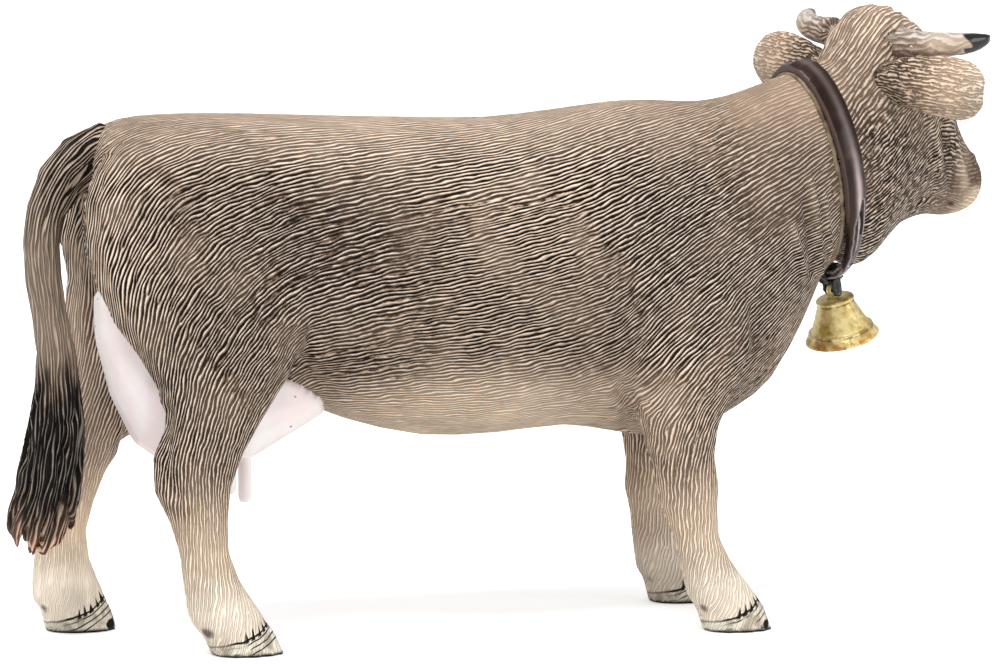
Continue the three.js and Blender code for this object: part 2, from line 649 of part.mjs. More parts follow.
function tailTenon(radius) {
  const inner = tailRoot.clone().addScaledVector(X, TAIL_TENON_LENGTH);
  const outer = tailRoot.clone().addScaledVector(X, -TAIL_TENON_START_SHARE * TAIL_THICKNESS);
  return solid(cylinderAlong(X, radius, outer, inner));
}

// The height of the belly's line at x
function bellyHeight(x) {
  let place = 0;
  while (place < MUZZLE_PLACE && rowBetween(bodySlices, place).bottomX < x) place += rowShares.step;
  return rowBetween(bodySlices, place).bottomZ;
}

const udderRear = RUMP_END + UDDER_SETBACK;
const udderFloor = bellyHeight(udderRear + UDDER_LENGTH / 2) - UDDER_DROP;

function udderPeg(radius, length) {
  const x = udderRear + UDDER_PEG_SHARE * UDDER_LENGTH;
  const foot = new THREE.Vector3(x, 0, bellyHeight(x) - UDDER_PEG_LENGTH);
  const head = new THREE.Vector3(x, 0, bellyHeight(x) + length);
  return solid(cylinderAlong(Z, radius, foot, head));
}

function bodyShell(side) {
  const outer = trunkForm(0);
  let shell = outer.subtract(cavityForm());
  for (const place of bossPlaces) {
    const boss = bossCylinder(place, BOSS_RADIUS, 0, side * BARREL_WIDTH);
    shell = shell.add(boss.intersect(trunkForm(-WALL / 2)));
  }
  shell = shell.add(wholeLeg(hindLeg, side)).add(wholeLeg(foreleg, side));
  shell = shell.subtract(tailTenon(TAIL_TENON_RADIUS + SEAT_GAP));
  shell = shell.subtract(udderPeg(UDDER_PEG_RADIUS + SEAT_GAP, UDDER_PEG_LENGTH + SEAT_GAP));
  shell = shell.intersect(sideCutter(side));
  for (const place of bossPlaces) {
    if (side > 0) {
      shell = shell.add(bossCylinder(place, PIN_BOSS_RADIUS, WALL, -PIN_BOSS_LENGTH));
    } else {
      const socketDepth = -PIN_BOSS_LENGTH - SEAT_GAP;
      shell = shell.subtract(bossCylinder(place, PIN_BOSS_RADIUS + SEAT_GAP, OVERRUN, socketDepth));
    }
  }
  return shell;
}

// Horns and ears stand on the head's surface. Their tenons go into sockets in the head.

function standPoint(stand, side) {
  const place = HEAD_PLACE + stand.share * (headSliceShares.length - 1);
  return slicePoint(place, -side * stand.angle, 0);
}

function limbLoft(rows, ringAt) {
  const rings = placesOf(rows, SLICES_BETWEEN).map((place) => ringAt(rowBetween(rows, place)).map(bent));
  return solid(loft(rings, middleOf(rings[0]), middleOf(rings[rings.length - 1])));
}

function hornForm(side) {
  const root = standPoint(hornStand, side);
  return limbLoft(hornShares, (row) => {
    const middle = root.clone().add(
      new THREE.Vector3(row.forward, side * row.out, row.up).multiplyScalar(HORN_LENGTH),
    );
    const ring = [];
    for (let k = 0; k < LIMB_POINTS; k++) {
      const angle = (2 * Math.PI * k) / LIMB_POINTS;
      const radius = row.thick * HORN_RADIUS;
      const ahead = Math.cos(angle) * radius;
      const offset = new THREE.Vector3(ahead, -side * HORN_SLANT_SHARE * ahead, Math.sin(angle) * radius);
      ring.push(middle.clone().add(offset));
    }
    return ring;
  });
}

function earForm(side) {
  const root = standPoint(earStand, side);
  return limbLoft(earShares, (row) => {
    const middle = root.clone().add(
      new THREE.Vector3(row.forward, side * row.out, row.up).multiplyScalar(EAR_LENGTH),
    );
    const ring = [];
    for (let k = 0; k < LIMB_POINTS; k++) {
      const [ahead, up] = oval((2 * Math.PI * k) / LIMB_POINTS, 2);
      const cup = up * up * EAR_THICKNESS * row.width * EAR_CUP_SHARE;
      const forward = (ahead * row.thick * EAR_THICKNESS) / 2 + cup;
      ring.push(middle.clone().add(new THREE.Vector3(forward, 0, (up * row.width * EAR_WIDTH) / 2)));
    }
    return ring;
  });
}

function tenonAt(stand, side, radius, reach) {
  const root = bent(standPoint(stand, side));
  const inward = bent(standPoint(stand, side).addScaledVector(Y, -side)).sub(root).normalize();
  const from = root.clone().addScaledVector(inward, -TENON_RADIUS);
  return solid(cylinderAlong(inward, radius, from, root.clone().addScaledVector(inward, reach)));
}

const fittings = [
  { name: "horn", stand: hornStand, form: hornForm },
  { name: "ear", stand: earStand, form: earForm },
];

function fittingSolid(fitting, side) {
  const tenon = tenonAt(fitting.stand, side, TENON_RADIUS, TENON_LENGTH);
  return largest(fitting.form(side).subtract(headForm(SEAT_GAP))).add(tenon);
}

function eyeBall(side) {
  const ball = new THREE.SphereGeometry(EYE_RADIUS, LIMB_POINTS, LIMB_POINTS / 2);
  const place = standPoint(eyeStand, side).addScaledVector(Y, -side * EYE_SUNK_SHARE * EYE_RADIUS);
  return solid(ball.translate(...bent(place)));
}

function headSolid() {
  let head = headForm(0).add(spigotForm());
  for (const side of [-1, 1]) {
    head = head.add(eyeBall(side));
    for (const fitting of fittings) {
      const socket = tenonAt(fitting.stand, side, TENON_RADIUS + SEAT_GAP, TENON_LENGTH + SEAT_GAP);
      head = head.subtract(socket);
    }
  }
  return head;
}

// Tail

function tailForm() {
  const rings = placesOf(tailShares, 1).map((place) => {
    const row = rowBetween(tailShares, place);
    const next = rowBetween(tailShares, Math.min(place + rowShares.step, tailShares.length - 1));
    const before = rowBetween(tailShares, Math.max(place - rowShares.step, 0));
    const run = new THREE.Vector3(before.back - next.back, 0, before.down - next.down).normalize();
    const across = new THREE.Vector3(-run.z, 0, run.x);
    const middle = tailRoot.clone().add(
      new THREE.Vector3(-row.back, 0, -row.down).multiplyScalar(TAIL_LENGTH),
    );
    const ring = [];
    for (let k = 0; k < LIMB_POINTS; k++) {
      const [out, over] = oval((2 * Math.PI * k) / LIMB_POINTS, roundnessShares.tail);
      const point = middle.clone().addScaledVector(across, (over * row.width * TUFT_WIDTH) / 2);
      ring.push(point.addScaledVector(Y, (out * row.thick * TAIL_THICKNESS) / 2));
    }
    return ring;
  });
  return solid(loft(rings, middleOf(rings[0]), middleOf(rings[rings.length - 1])));
}

function tailSolid() {
  let tail = tailForm().subtract(trunkForm(SEAT_GAP));
  for (const side of [-1, 1]) tail = tail.subtract(legForm(hindLeg, side, SEAT_GAP));
  return largest(tail).add(tailTenon(TAIL_TENON_RADIUS));
}

// Udder

function udderSolid() {
  const rings = udderShares.map((row) => {
    const x = udderRear + row.along * UDDER_LENGTH;
    const top = udderFloor + row.top * UDDER_DROP;
    const floor = udderFloor + row.floor * UDDER_DROP;
    const ring = [];
    for (let k = 0; k < UDDER_POINTS; k++) {
      const [out, up] = oval((2 * Math.PI * k) / UDDER_POINTS, roundnessShares.udder);
      const z = (top + floor) / 2 + (up * (top - floor)) / 2;
      ring.push(new THREE.Vector3(x, (out * row.width * UDDER_WIDTH) / 2, z));
    }
    return ring;
  });
  let udder = solid(loft(rings, middleOf(rings[0]), middleOf(rings[rings.length - 1])));
  for (const along of teatAlongShares) {
    for (const side of [-1, 1]) {
      const teat = new THREE.CapsuleGeometry(TEAT_RADIUS, TEAT_LENGTH, TEAT_STEPS, TEAT_SEGMENTS);
      teat.rotateX(Math.PI / 2);
      const y = (side * TEAT_OUT_SHARE * UDDER_WIDTH) / 2;
      teat.translate(udderRear + along * UDDER_LENGTH, y, udderFloor + TEAT_RADIUS - TEAT_LENGTH / 2);
      udder = udder.add(solid(teat));
    }
  }
  udder = udder.subtract(trunkForm(SEAT_GAP));
  for (const side of [-1, 1]) udder = udder.subtract(legForm(hindLeg, side, SEAT_GAP));
  return largest(udder).add(udderPeg(UDDER_PEG_RADIUS, UDDER_PEG_LENGTH));
}

// The collar's frame: x along the neck, y to the left and z up, in the plane of the strap
const collarFrame = (() => {
  const row = rowBetween(bodySlices, COLLAR_PLACE);
  const top = bent(new THREE.Vector3(row.topX, 0, row.topZ));
  const bottom = bent(new THREE.Vector3(row.bottomX, 0, row.bottomZ));
  const middle = new THREE.Vector3().lerpVectors(bottom, top, 0.5);
  const up = new THREE.Vector3().subVectors(top, bottom).normalize();
  const left = Y.clone().transformDirection(bendFrame((row.topX + row.bottomX) / 2));
  const ahead = new THREE.Vector3().crossVectors(left, up).normalize();
  const across = new THREE.Vector3().crossVectors(up, ahead);
  return new THREE.Matrix4().makeBasis(ahead, across, up).setPosition(middle);
})();

// Lines that run along the neck past the collar, in the collar's frame
const neckLines = (() => {
  const toCollar = collarFrame.clone().invert();
  const [from, to] = [COLLAR_PLACE - rowShares.collarReach, COLLAR_PLACE + rowShares.collarReach];
  const rings = placesFrom(from, to, COLLAR_SAMPLES).map((place) => sliceRing(place, 0));
  return rings[0].map((_, k) => rings.map((ring) => ring[k].clone().applyMatrix4(toCollar)));
})();

// The neck's outline in the plane at x, as distances and angles from straight down to the left
function neckOutline(x) {
  return neckLines.map((line) => {
    const index = Math.max(1, line.findIndex((point) => point.x > x));
    const [before, after] = [line[index - 1], line[index]];
    const point = before.clone().lerp(after, (x - before.x) / (after.x - before.x));
    return { angle: Math.atan2(point.y, -point.z), reach: Math.hypot(point.y, point.z) };
  }).sort((a, b) => a.angle - b.angle);
}

function reachAt(outline, angle) {
  const turned = Math.atan2(Math.sin(angle), Math.cos(angle));
  const index = outline.findIndex((point) => point.angle > turned);
  const after = outline[Math.max(index, 0)];
  const before = outline[index > 0 ? index - 1 : outline.length - 1];
  const span = (after.angle - before.angle + 2 * Math.PI) % (2 * Math.PI);
  const t = ((turned - before.angle + 2 * Math.PI) % (2 * Math.PI)) / span;
  return THREE.MathUtils.lerp(before.reach, after.reach, t);
}

// The strap follows the neck, but under the throat it is narrower and hangs clear of it, where the
// hanger goes round it. A point of it, at an angle from the bottom, across its width and height.
function nearBottom(angle, reachAngle) {
  const turned = Math.abs(Math.atan2(Math.sin(angle), Math.cos(angle)));
  return 1 - THREE.MathUtils.smoothstep(turned, 0, reachAngle);
}

// How far down the neck reaches beside the loop's two edges
const loopHalf = STRAP_NECK_WIDTH / 2 + HANGER_PLAY + HANGER_WALL;
const loopReach = Math.max(reachAt(neckOutline(-loopHalf), 0), reachAt(neckOutline(loopHalf), 0));

function strapPoint(angle, acrossShare, height) {
  const width = THREE.MathUtils.lerp(STRAP_WIDTH, STRAP_NECK_WIDTH, nearBottom(angle, STRAP_TAPER_ANGLE));
  const x = acrossShare * width;
  const outline = neckOutline(x);
  const low = loopReach + HANGER_WALL + HANGER_PLAY - reachAt(outline, 0);
  const reach = reachAt(outline, angle) + nearBottom(angle, STRAP_DROP_ANGLE) * low + SEAT_GAP + height;
  return new THREE.Vector3(x, reach * Math.sin(angle), -reach * Math.cos(angle));
}

function strapSolid() {
  const rings = placesFrom(0, 2 * Math.PI, STRAP_STEPS).slice(0, -1).map((angle) => [
    strapPoint(angle, -0.5, 0),
    strapPoint(angle, 0.5, 0),
    strapPoint(angle, 0.5, STRAP_THICKNESS),
    strapPoint(angle, -0.5, STRAP_THICKNESS),
  ]);
  const slot = placesFrom(-SLOT_START, -SLOT_END, SLOT_STEPS).map((angle, k) => {
    const half = (SLOT_WIDTH / STRAP_WIDTH / 2) * (k % SLOT_STEPS === 0 ? SLOT_END_SHARE : 1);
    return [
      strapPoint(angle, SLOT_OFFSET_SHARE - half, STRAP_THICKNESS - SLOT_DEPTH),
      strapPoint(angle, SLOT_OFFSET_SHARE + half, STRAP_THICKNESS - SLOT_DEPTH),
      strapPoint(angle, SLOT_OFFSET_SHARE + half, STRAP_THICKNESS + SLOT_DEPTH),
      strapPoint(angle, SLOT_OFFSET_SHARE - half, STRAP_THICKNESS + SLOT_DEPTH),
    ];
  });
  const cut = solid(loft(slot, middleOf(slot[0]), middleOf(slot[slot.length - 1])));
  return solid(closedLoft(rings)).subtract(cut);
}

// The hanger is a loop round the strap with two lugs under it, and a pin between the lugs.
// Its own frame has its origin in the middle of the strap at its lowest point.
const strapLow = strapPoint(0, 0, STRAP_THICKNESS / 2);
const LOOP_INNER_WIDTH = STRAP_NECK_WIDTH + 2 * HANGER_PLAY;
const LOOP_INNER_HEIGHT = STRAP_THICKNESS + 2 * HANGER_PLAY;
const LOOP_WIDTH = LOOP_INNER_WIDTH + 2 * HANGER_WALL;
const LOOP_HEIGHT = LOOP_INNER_HEIGHT + 2 * HANGER_WALL;
const LUG_RADIUS = PIN_RADIUS + HANGER_WALL;
const CROWN_HOLE_RADIUS = PIN_RADIUS + HANGER_PLAY;
const CROWN_RADIUS = CROWN_HOLE_RADIUS + CROWN_WALL;
const LUG_GAP = CROWN_WIDTH + 2 * HANGER_PLAY;
const LUG_SPAN = LUG_GAP + 2 * HANGER_WALL;
const PIN_DROP = LOOP_HEIGHT / 2 + HANGER_PLAY + CROWN_RADIUS;

function roundedRectangle(width, height, radius) {
  const shape = new THREE.Shape();
  const [x, y] = [width / 2 - radius, height / 2 - radius];
  shape.absarc(x, y, radius, 0, Math.PI / 2);
  shape.absarc(-x, y, radius, Math.PI / 2, Math.PI);
  shape.absarc(-x, -y, radius, Math.PI, 1.5 * Math.PI);
  shape.absarc(x, -y, radius, 1.5 * Math.PI, 2 * Math.PI);
  return shape;
}

// A shape drawn in x and z, given a length along y
function alongStrap(shape, length, middle) {
  const curveSegments = HANGER_CURVE_STEPS;
  const geometry = new THREE.ExtrudeGeometry(shape, { depth: length, bevelEnabled: false, curveSegments });
  geometry.translate(0, 0, -length / 2);
  geometry.rotateX(Math.PI / 2);
  return geometry.translate(0, middle, 0);
}

function hangerSolid() {
  const loop = roundedRectangle(LOOP_WIDTH, LOOP_HEIGHT, HANGER_WALL);
  loop.holes.push(roundedRectangle(LOOP_INNER_WIDTH, LOOP_INNER_HEIGHT, HANGER_PLAY / 2));
  let hanger = solid(alongStrap(loop, HANGER_LENGTH, 0));
  const lugTop = HANGER_WALL / 2 - LOOP_HEIGHT / 2;
  const saddle = roundedRectangle(2 * LUG_RADIUS, HANGER_WALL, HANGER_WALL / 4);
  hanger = hanger.add(solid(alongStrap(saddle, LUG_SPAN, 0).translate(0, 0, lugTop)));
  const lug = new THREE.Shape();
  lug.moveTo(LUG_RADIUS, lugTop);
  lug.lineTo(-LUG_RADIUS, lugTop);
  lug.absarc(0, -PIN_DROP, LUG_RADIUS, Math.PI, 2 * Math.PI);
  lug.closePath();
  for (const side of [-1, 1]) {
    const middle = (side * (LUG_GAP + HANGER_WALL)) / 2;
    hanger = hanger.add(solid(alongStrap(lug, HANGER_WALL, middle)));
  }
  const reach = (LUG_GAP + HANGER_WALL) / 2;
  const [from, to] = [new THREE.Vector3(0, -reach, -PIN_DROP), new THREE.Vector3(0, reach, -PIN_DROP)];
  return hanger.add(solid(cylinderAlong(Y, PIN_RADIUS, from, to)));
}

// The bell hangs with its crown's eye on the pin. Its own frame has its origin at the pin.
const BELL_TOP = -(LUG_RADIUS + HANGER_PLAY);
const BELL_LIP = BELL_TOP - BELL_HEIGHT;

function bellSolid() {
  const roof = BELL_TOP - BELL_WALL;
  const place = ([out, up]) => new THREE.Vector2(out * BELL_RADIUS, BELL_LIP + up * BELL_HEIGHT);
  const outline = bellOutlineShares.map(place);
  const inside = outline
    .map((point) => new THREE.Vector2(point.x - BELL_WALL, point.y))
    .filter((point) => point.y < roof - BELL_WALL)
    .reverse();
  const profile = [
    new THREE.Vector2(0, BELL_TOP),
    ...outline,
    ...inside,
    new THREE.Vector2(inside[inside.length - 1].x - BELL_WALL, roof),
    new THREE.Vector2(0, roof),
  ];
  const shell = new THREE.LatheGeometry(profile.reverse(), BELL_SEGMENTS);
  shell.rotateX(Math.PI / 2);
  const crown = new THREE.Shape();
  const foot = BELL_TOP - BELL_WALL / 2;
  crown.moveTo(-CROWN_RADIUS, foot);
  crown.lineTo(CROWN_RADIUS, foot);
  crown.absarc(0, 0, CROWN_RADIUS, 0, Math.PI);
  crown.closePath();
  const eye = new THREE.Path();
  eye.absarc(0, 0, CROWN_HOLE_RADIUS, 0, 2 * Math.PI);
  crown.holes.push(eye);
  return solid(shell).add(solid(alongStrap(crown, CROWN_WIDTH, 0)));
}

// Materials

function plastic(color, roughness, metalness = 0) {
  return new THREE.MeshStandardMaterial({ color, roughness, metalness });
}

const hide = plastic(0x9c8b7c, 0.75);
const hornPaint = plastic(0xd9c7b0, 0.4);
const earPaint = plastic(0xc4ae98, 0.7);
const udderPaint = plastic(0xe6d5d4, 0.5);
const strapBrown = plastic(0x4a3836, 0.45);
const hangerBlack = plastic(0x1b1716, 0.4);
const bellGold = plastic(0xc9a84a, 0.3, 0.8);

// Assembly

function part(name, body, material) {
  const mesh = new THREE.Mesh(geometryOf(body), material);
  mesh.name = name;
  return mesh;
}

const figure = new THREE.Group();
figure.add(part("body_right_shell", bodyShell(-1), hide));
figure.add(part("body_left_shell", bodyShell(1), hide));
figure.add(part("head", headSolid(), hide));
for (const [side, sideName] of [[-1, "right"], [1, "left"]]) {
  for (const fitting of fittings) {
    const paint = fitting.name === "horn" ? hornPaint : earPaint;
    figure.add(part(`${fitting.name}_${sideName}`, fittingSolid(fitting, side), paint));
  }
}
figure.add(part("tail", tailSolid(), hide));
figure.add(part("udder", udderSolid(), udderPaint));

const collar = new THREE.Group();
collar.applyMatrix4(collarFrame);
collar.add(part("collar_strap", strapSolid(), strapBrown));
const hanger = new THREE.Group();
hanger.position.copy(strapLow);
hanger.add(part("bell_hanger", hangerSolid(), hangerBlack));
const bell = new THREE.Group();
bell.position.setZ(-PIN_DROP);
bell.rotation.y = -BELL_TILT;
bell.add(part("bell", bellSolid(), bellGold));
hanger.add(bell);
collar.add(hanger);
figure.add(collar);

// The origin is on the ground under the middle of the whole figure.
figure.updateMatrixWorld(true);
const box = new THREE.Box3().setFromObject(figure, true);
const boxMiddle = box.getCenter(new THREE.Vector3());
figure.position.set(-boxMiddle.x, -boxMiddle.y, -box.min.z);
figure.updateMatrixWorld(true);

// Where the joints lie, in metres
const METRES = 1e-3;
const inMetres = (vector) => vector.toArray().map((value) => (value * METRES).toFixed(5)).join(", ");
const direction = (vector) => vector.toArray().map((value) => value.toFixed(5)).join(", ");
console.log("shift", inMetres(figure.position));
console.log("hanger rocks at", inMetres(new THREE.Vector3().applyMatrix4(hanger.matrixWorld)));
console.log("hanger rocks about", direction(X.clone().transformDirection(hanger.matrixWorld)));
console.log("bell swings at", inMetres(new THREE.Vector3().applyMatrix4(bell.matrixWorld)));
console.log("bell's mouth at", inMetres(new THREE.Vector3(0, 0, BELL_LIP).applyMatrix4(bell.matrixWorld)));
console.log("bell swings about", direction(Y.clone().transformDirection(bell.matrixWorld)));

export default figure;
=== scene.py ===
import json
import math
import bmesh
import bpy
import numpy as np
from mathutils import Matrix, Vector, noise
from mathutils.bvhtree import BVHTree


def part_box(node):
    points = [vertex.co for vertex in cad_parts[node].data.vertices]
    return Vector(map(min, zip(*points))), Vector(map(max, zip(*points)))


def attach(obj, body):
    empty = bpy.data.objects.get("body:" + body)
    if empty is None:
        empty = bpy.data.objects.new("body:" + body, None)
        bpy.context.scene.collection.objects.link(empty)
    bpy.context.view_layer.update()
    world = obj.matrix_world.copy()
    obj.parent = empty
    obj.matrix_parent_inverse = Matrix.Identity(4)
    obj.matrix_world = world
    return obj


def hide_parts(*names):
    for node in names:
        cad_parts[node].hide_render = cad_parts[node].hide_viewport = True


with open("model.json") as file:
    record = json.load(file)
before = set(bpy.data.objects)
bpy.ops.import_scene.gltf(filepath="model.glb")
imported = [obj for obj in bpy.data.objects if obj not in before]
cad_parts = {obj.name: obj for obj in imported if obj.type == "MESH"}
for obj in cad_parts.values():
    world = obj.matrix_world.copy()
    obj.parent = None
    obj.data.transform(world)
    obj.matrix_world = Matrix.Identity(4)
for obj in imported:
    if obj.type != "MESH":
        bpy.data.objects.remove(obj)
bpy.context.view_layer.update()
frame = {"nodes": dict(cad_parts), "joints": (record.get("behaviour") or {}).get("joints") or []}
nodes = frame["nodes"]
hangerRock, bellSwing = frame["joints"]
mm = 0.001
tiny = 1e-9
least = 1e-6  # mm, so that no length is nothing

bodyNodes = ("body_right_shell", "body_left_shell", "head")
neckAhead = Vector(hangerRock["axis"])  # the hanger rocks about the neck's direction
strapLow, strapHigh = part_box("collar_strap")
strapMiddle = (strapLow + strapHigh) / 2


# reading, writing and evening out what a mesh holds, in mm

def readRows(items, name, width, kind=float):
    values = np.zeros(len(items) * width, kind)
    items.foreach_get(name, values)
    return values.reshape(-1, width)


def points(piece):
    return readRows(piece.data.vertices, "co", 3) / mm


def normalsOf(piece):
    return readRows(piece.data.vertices, "normal", 3)


def edgesOf(piece):
    return readRows(piece.data.edges, "vertices", 2, int)


def valuesOf(piece, name):
    return readRows(piece.data.attributes[name].data, "value", 1)[:, 0]


def addValues(piece, name, values):
    made = piece.data.attributes.new(name, "FLOAT", "POINT")
    made.data.foreach_set("value", values.astype(np.float32))


def place(piece, values):
    piece.data.vertices.foreach_set("co", (values * mm).ravel())
    piece.data.update()


def raised(piece, rise):  # moves each point along its normal
    place(piece, points(piece) + normalsOf(piece) * rise[:, None])


def relaxed(values, edges, share):
    total = np.zeros_like(values)
    count = np.zeros(len(values))
    for a, b in ((0, 1), (1, 0)):
        for axis in range(values.shape[1]):
            total[:, axis] += np.bincount(edges[:, a], values[edges[:, b], axis], len(values))
        count += np.bincount(edges[:, a], minlength=len(values))
    return values + share * (total / np.maximum(count, 1)[:, None] - values)


def evened(values, edges, share, rounds):
    for _ in range(rounds):
        values = relaxed(values, edges, share)
    return values


def unit(values):
    return values / np.maximum(np.linalg.norm(values, axis=-1, keepdims=True), tiny)


def fade(values, start, end):  # 0 at start, 1 at end, with a soft course between
    share = np.clip((values - start) / (end - start), 0, 1)
    return share * share * (3 - 2 * share)


def stepped(fields, steps):  # the product of soft steps along the fields
    share = 1.0
    for name, start, end in steps:
        share = share * fade(fields[name], start, end)
    return share


def washed(fields, start, *parts):
    return start + sum(strength * stepped(fields, steps) for strength, *steps in parts)


def hump(away, width):
    return np.exp(-(away / width) ** 2)


def noiseOver(spots):
    return np.array([noise.noise(Vector(spot)) for spot in spots])


def lineDistance(values, line):
    nearest = np.full(len(values), np.inf)
    for first, second in zip(line[:-1], line[1:]):
        first, second = np.array(first, float), np.array(second, float)
        run = second - first
        share = np.clip((values - first) @ run / (run @ run), 0, 1)
        nearest = np.minimum(nearest, np.linalg.norm(values - first - share[:, None] * run, axis=1))
    return nearest


def surfaceOf(piece):
    return BVHTree.FromPolygons(
        [vert.co for vert in piece.data.vertices], [face.vertices for face in piece.data.polygons])


# skins of the moulded figure, remeshed from the CAD solids and then sculpted

skin = {  # mm
    "weld": 0.01,
    "push": 0.2,  # closes the glued seams
    "bodyVoxel": 0.46, "headVoxel": 0.3, "smoothRounds": 14, "shrink": 0.6, "swell": 0.62,
    "seamBack": 1.75,  # the glue line, behind the middle of the strap
    "parting": -2.9,  # the middle of the trunk, where its two halves meet
}


def linked(name, mesh):
    piece = bpy.data.objects.new(name, mesh)
    bpy.context.scene.collection.objects.link(piece)
    return piece


def weldedCopy(name, wanted, push=0):
    bm = bmesh.new()
    for node in wanted:
        bm.from_mesh(nodes[node].data)
    bmesh.ops.remove_doubles(bm, verts=bm.verts, dist=skin["weld"] * mm)
    bm.normal_update()
    if push:
        for vert, normal in [(vert, vert.normal.copy()) for vert in bm.verts]:
            vert.co += normal * push * mm
    mesh = bpy.data.meshes.new(name)
    bm.to_mesh(mesh)
    bm.free()
    return linked(name, mesh)


def keepOutermost(bm):  # drops the walls of the hollow
    groups, seen = [], set()
    for start in bm.verts:
        if start in seen:
            continue
        seen.add(start)
        group, waiting = [], [start]
        while waiting:
            vert = waiting.pop()
            group.append(vert)
            for edge in vert.link_edges:
                other = edge.other_vert(vert)
                if other not in seen:
                    seen.add(other)
                    waiting.append(other)
        groups.append(group)
    groups.sort(key=len)
    inner = [vert for group in groups[:-1] for vert in group]
    bmesh.ops.delete(bm, geom=inner, context="VERTS")


def voxelSkin(name, wanted, voxel, push=0):
    rough = weldedCopy(name, wanted, push)
    remesh = rough.modifiers.new("remesh", "REMESH")
    remesh.mode = "VOXEL"
    remesh.voxel_size = voxel * mm
    graph = bpy.context.evaluated_depsgraph_get()
    mesh = bpy.data.meshes.new_from_object(rough.evaluated_get(graph))
    bpy.data.objects.remove(rough)
    bm = bmesh.new()
    bm.from_mesh(mesh)
    keepOutermost(bm)
    bm.to_mesh(mesh)
    bm.free()
    mesh.name = name
    return linked(name, mesh)


def smoothSkin(piece, rounds):  # shrinks and swells in turn, so the form keeps its size
    values, edges = points(piece), edgesOf(piece)
    for _ in range(rounds):
        values = relaxed(values, edges, skin["shrink"])
        values = relaxed(values, edges, -skin["swell"])
    place(piece, values)


def cutOff(mesh, made, spot, outward, sharp=False):  # clears what lies beyond a plane and closes the cut
    bm = bmesh.new()
    bm.from_mesh(mesh)
    bmesh.ops.bisect_plane(
        bm, geom=bm.verts[:] + bm.edges[:] + bm.faces[:], plane_co=spot, plane_no=outward, clear_outer=True)
    rim = [edge for edge in bm.edges if edge.is_boundary]
    for edge in rim:
        edge.smooth = not sharp
    bmesh.ops.holes_fill(bm, edges=rim)
    bmesh.ops.recalc_face_normals(bm, faces=bm.faces)
    bm.to_mesh(made)
    bm.free()


def partedSkin(name, voxel, outward):  # one side of the glue line behind the collar
    piece = voxelSkin(name, bodyNodes, voxel, skin["push"])
    smoothSkin(piece, skin["smoothRounds"])
    place(piece, points(piece) - normalsOf(piece) * skin["push"])
    cutOff(piece.data, piece.data, strapMiddle - neckAhead * skin["seamBack"] * mm, outward)
    return piece


def halved(piece, names):  # two closed halves that meet in the middle of the trunk
    halves = []
    for name, side in zip(names, (1, -1)):
        mesh = bpy.data.meshes.new(name)
        cutOff(piece.data, mesh, (0, skin["parting"] * mm, 0), (0, side, 0), True)
        halves.append(linked(name, mesh))
    bpy.data.objects.remove(piece)
    return halves


bodySkin = partedSkin("bodySkin", skin["bodyVoxel"], neckAhead)
headSkin = partedSkin("headSkin", skin["headVoxel"], -neckAhead)


# how the hair runs: an even field over a skin, solved from a few given directions

hairRun = {  # x and z in mm beside the trunk, and the slope up to the front in degrees
    "back": [(-58, 69, 8), (-45, 70, 4), (-13, 69, 1), (15, 71, 4), (30, 72, 14), (37, 74, 22)],
    "flank": [(-32, 60, 16), (-16, 60, 11), (-2, 60, 10), (-17, 47, 14), (-2, 46, 15), (10, 59, 16)],
    "belly": [(-29, 36, 20), (-14, 31, 6), (0, 33, 6), (6, 36, 18)],
    "haunch": [(-43, 56, 30), (-50, 62, 28), (-57, 56, 56), (-47, 48, 38), (-35, 48, 24)],
    "rump": [(-63, 57, 84), (-62, 46, 94), (-60, 65, 55)],
    "thigh": [(-47, 41, 50), (-56, 36, 78), (-40, 38, 52), (-49, 29, 70)],
    "hindLegs": [(-52, 22, 92), (-50, 14, 86), (-46, 5, 78), (-60, 22, 84), (-63, 14, 90), (-61, 4, 80)],
    "shoulder": [(16, 52, 30), (16, 46, 38), (22, 41, 46), (20, 60, 20)],
    "forelegs": [(15, 34, 64), (18, 27, 78), (19, 18, 88), (22, 6, 74), (25, 2, 66)],
    "chest": [(30, 44, 56), (28, 38, 62), (33, 52, 48)],
    "neck": [(29, 64, 20), (36, 60, 24), (38, 67, 26), (36, 52, 36)],
}
headRun = {  # place in mm, and the direction the hair points
    "crest": ((40, -3, 75), (0.85, 0.2, 0.5)),
    "crown": ((48, 0, 82), (0.8, 0.3, 0.55)),
    "poll": ((53, 1, 84), (0.95, 0.35, 0.1)),
    "forehead": ((59, 7, 80), (0.6, 0.4, -0.7)),
    "bridge": ((66, 12, 69), (0.55, 0.4, -0.75)),
    "behindEar": ((45, -6.5, 70), (0.7, -0.1, 0.7)),
    "farBehindEar": ((40, 5, 71), (0.55, 0.45, 0.7)),
    "underEar": ((52, -4, 67), (0.75, 0.1, 0.65)),
    "neck": ((46, -6, 62), (0.75, 0.15, 0.62)),
    "throat": ((48, 0, 52), (0.8, 0.3, 0.5)),
    "cheek": ((58, 0, 62), (0.6, 0.25, 0.75)),
    "farCheek": ((50, 14, 63), (0.6, 0.25, 0.75)),
    "jaw": ((62, 6, 56), (0.8, 0.4, 0.35)),
    "muzzle": ((70, 12, 60), (0.7, 0.5, 0.2)),
}
tailLine = np.array((  # x and z in mm, from the root to the tuft
    (-54.9, 67.2), (-59.2, 66.6), (-62.9, 64.9), (-65.7, 62), (-67.5, 58.5), (-68.2, 54),
    (-67.1, 44.5), (-66.2, 35), (-66.8, 26), (-68.6, 17.5), (-70.5, 11)))
flow = {
    "guideReach": 3.0,  # mm
    "tailReach": 2.0, "solveRounds": 420, "evenRounds": 12, "evenShare": 0.5,
    "leastSlope": 0.01,  # squared
    "tightRange": (0.5, 2.6),
}


def pullOf(squares, reach):  # a guide's weight falls off beyond its reach
    return 1 / (squares + reach ** 2) ** 2


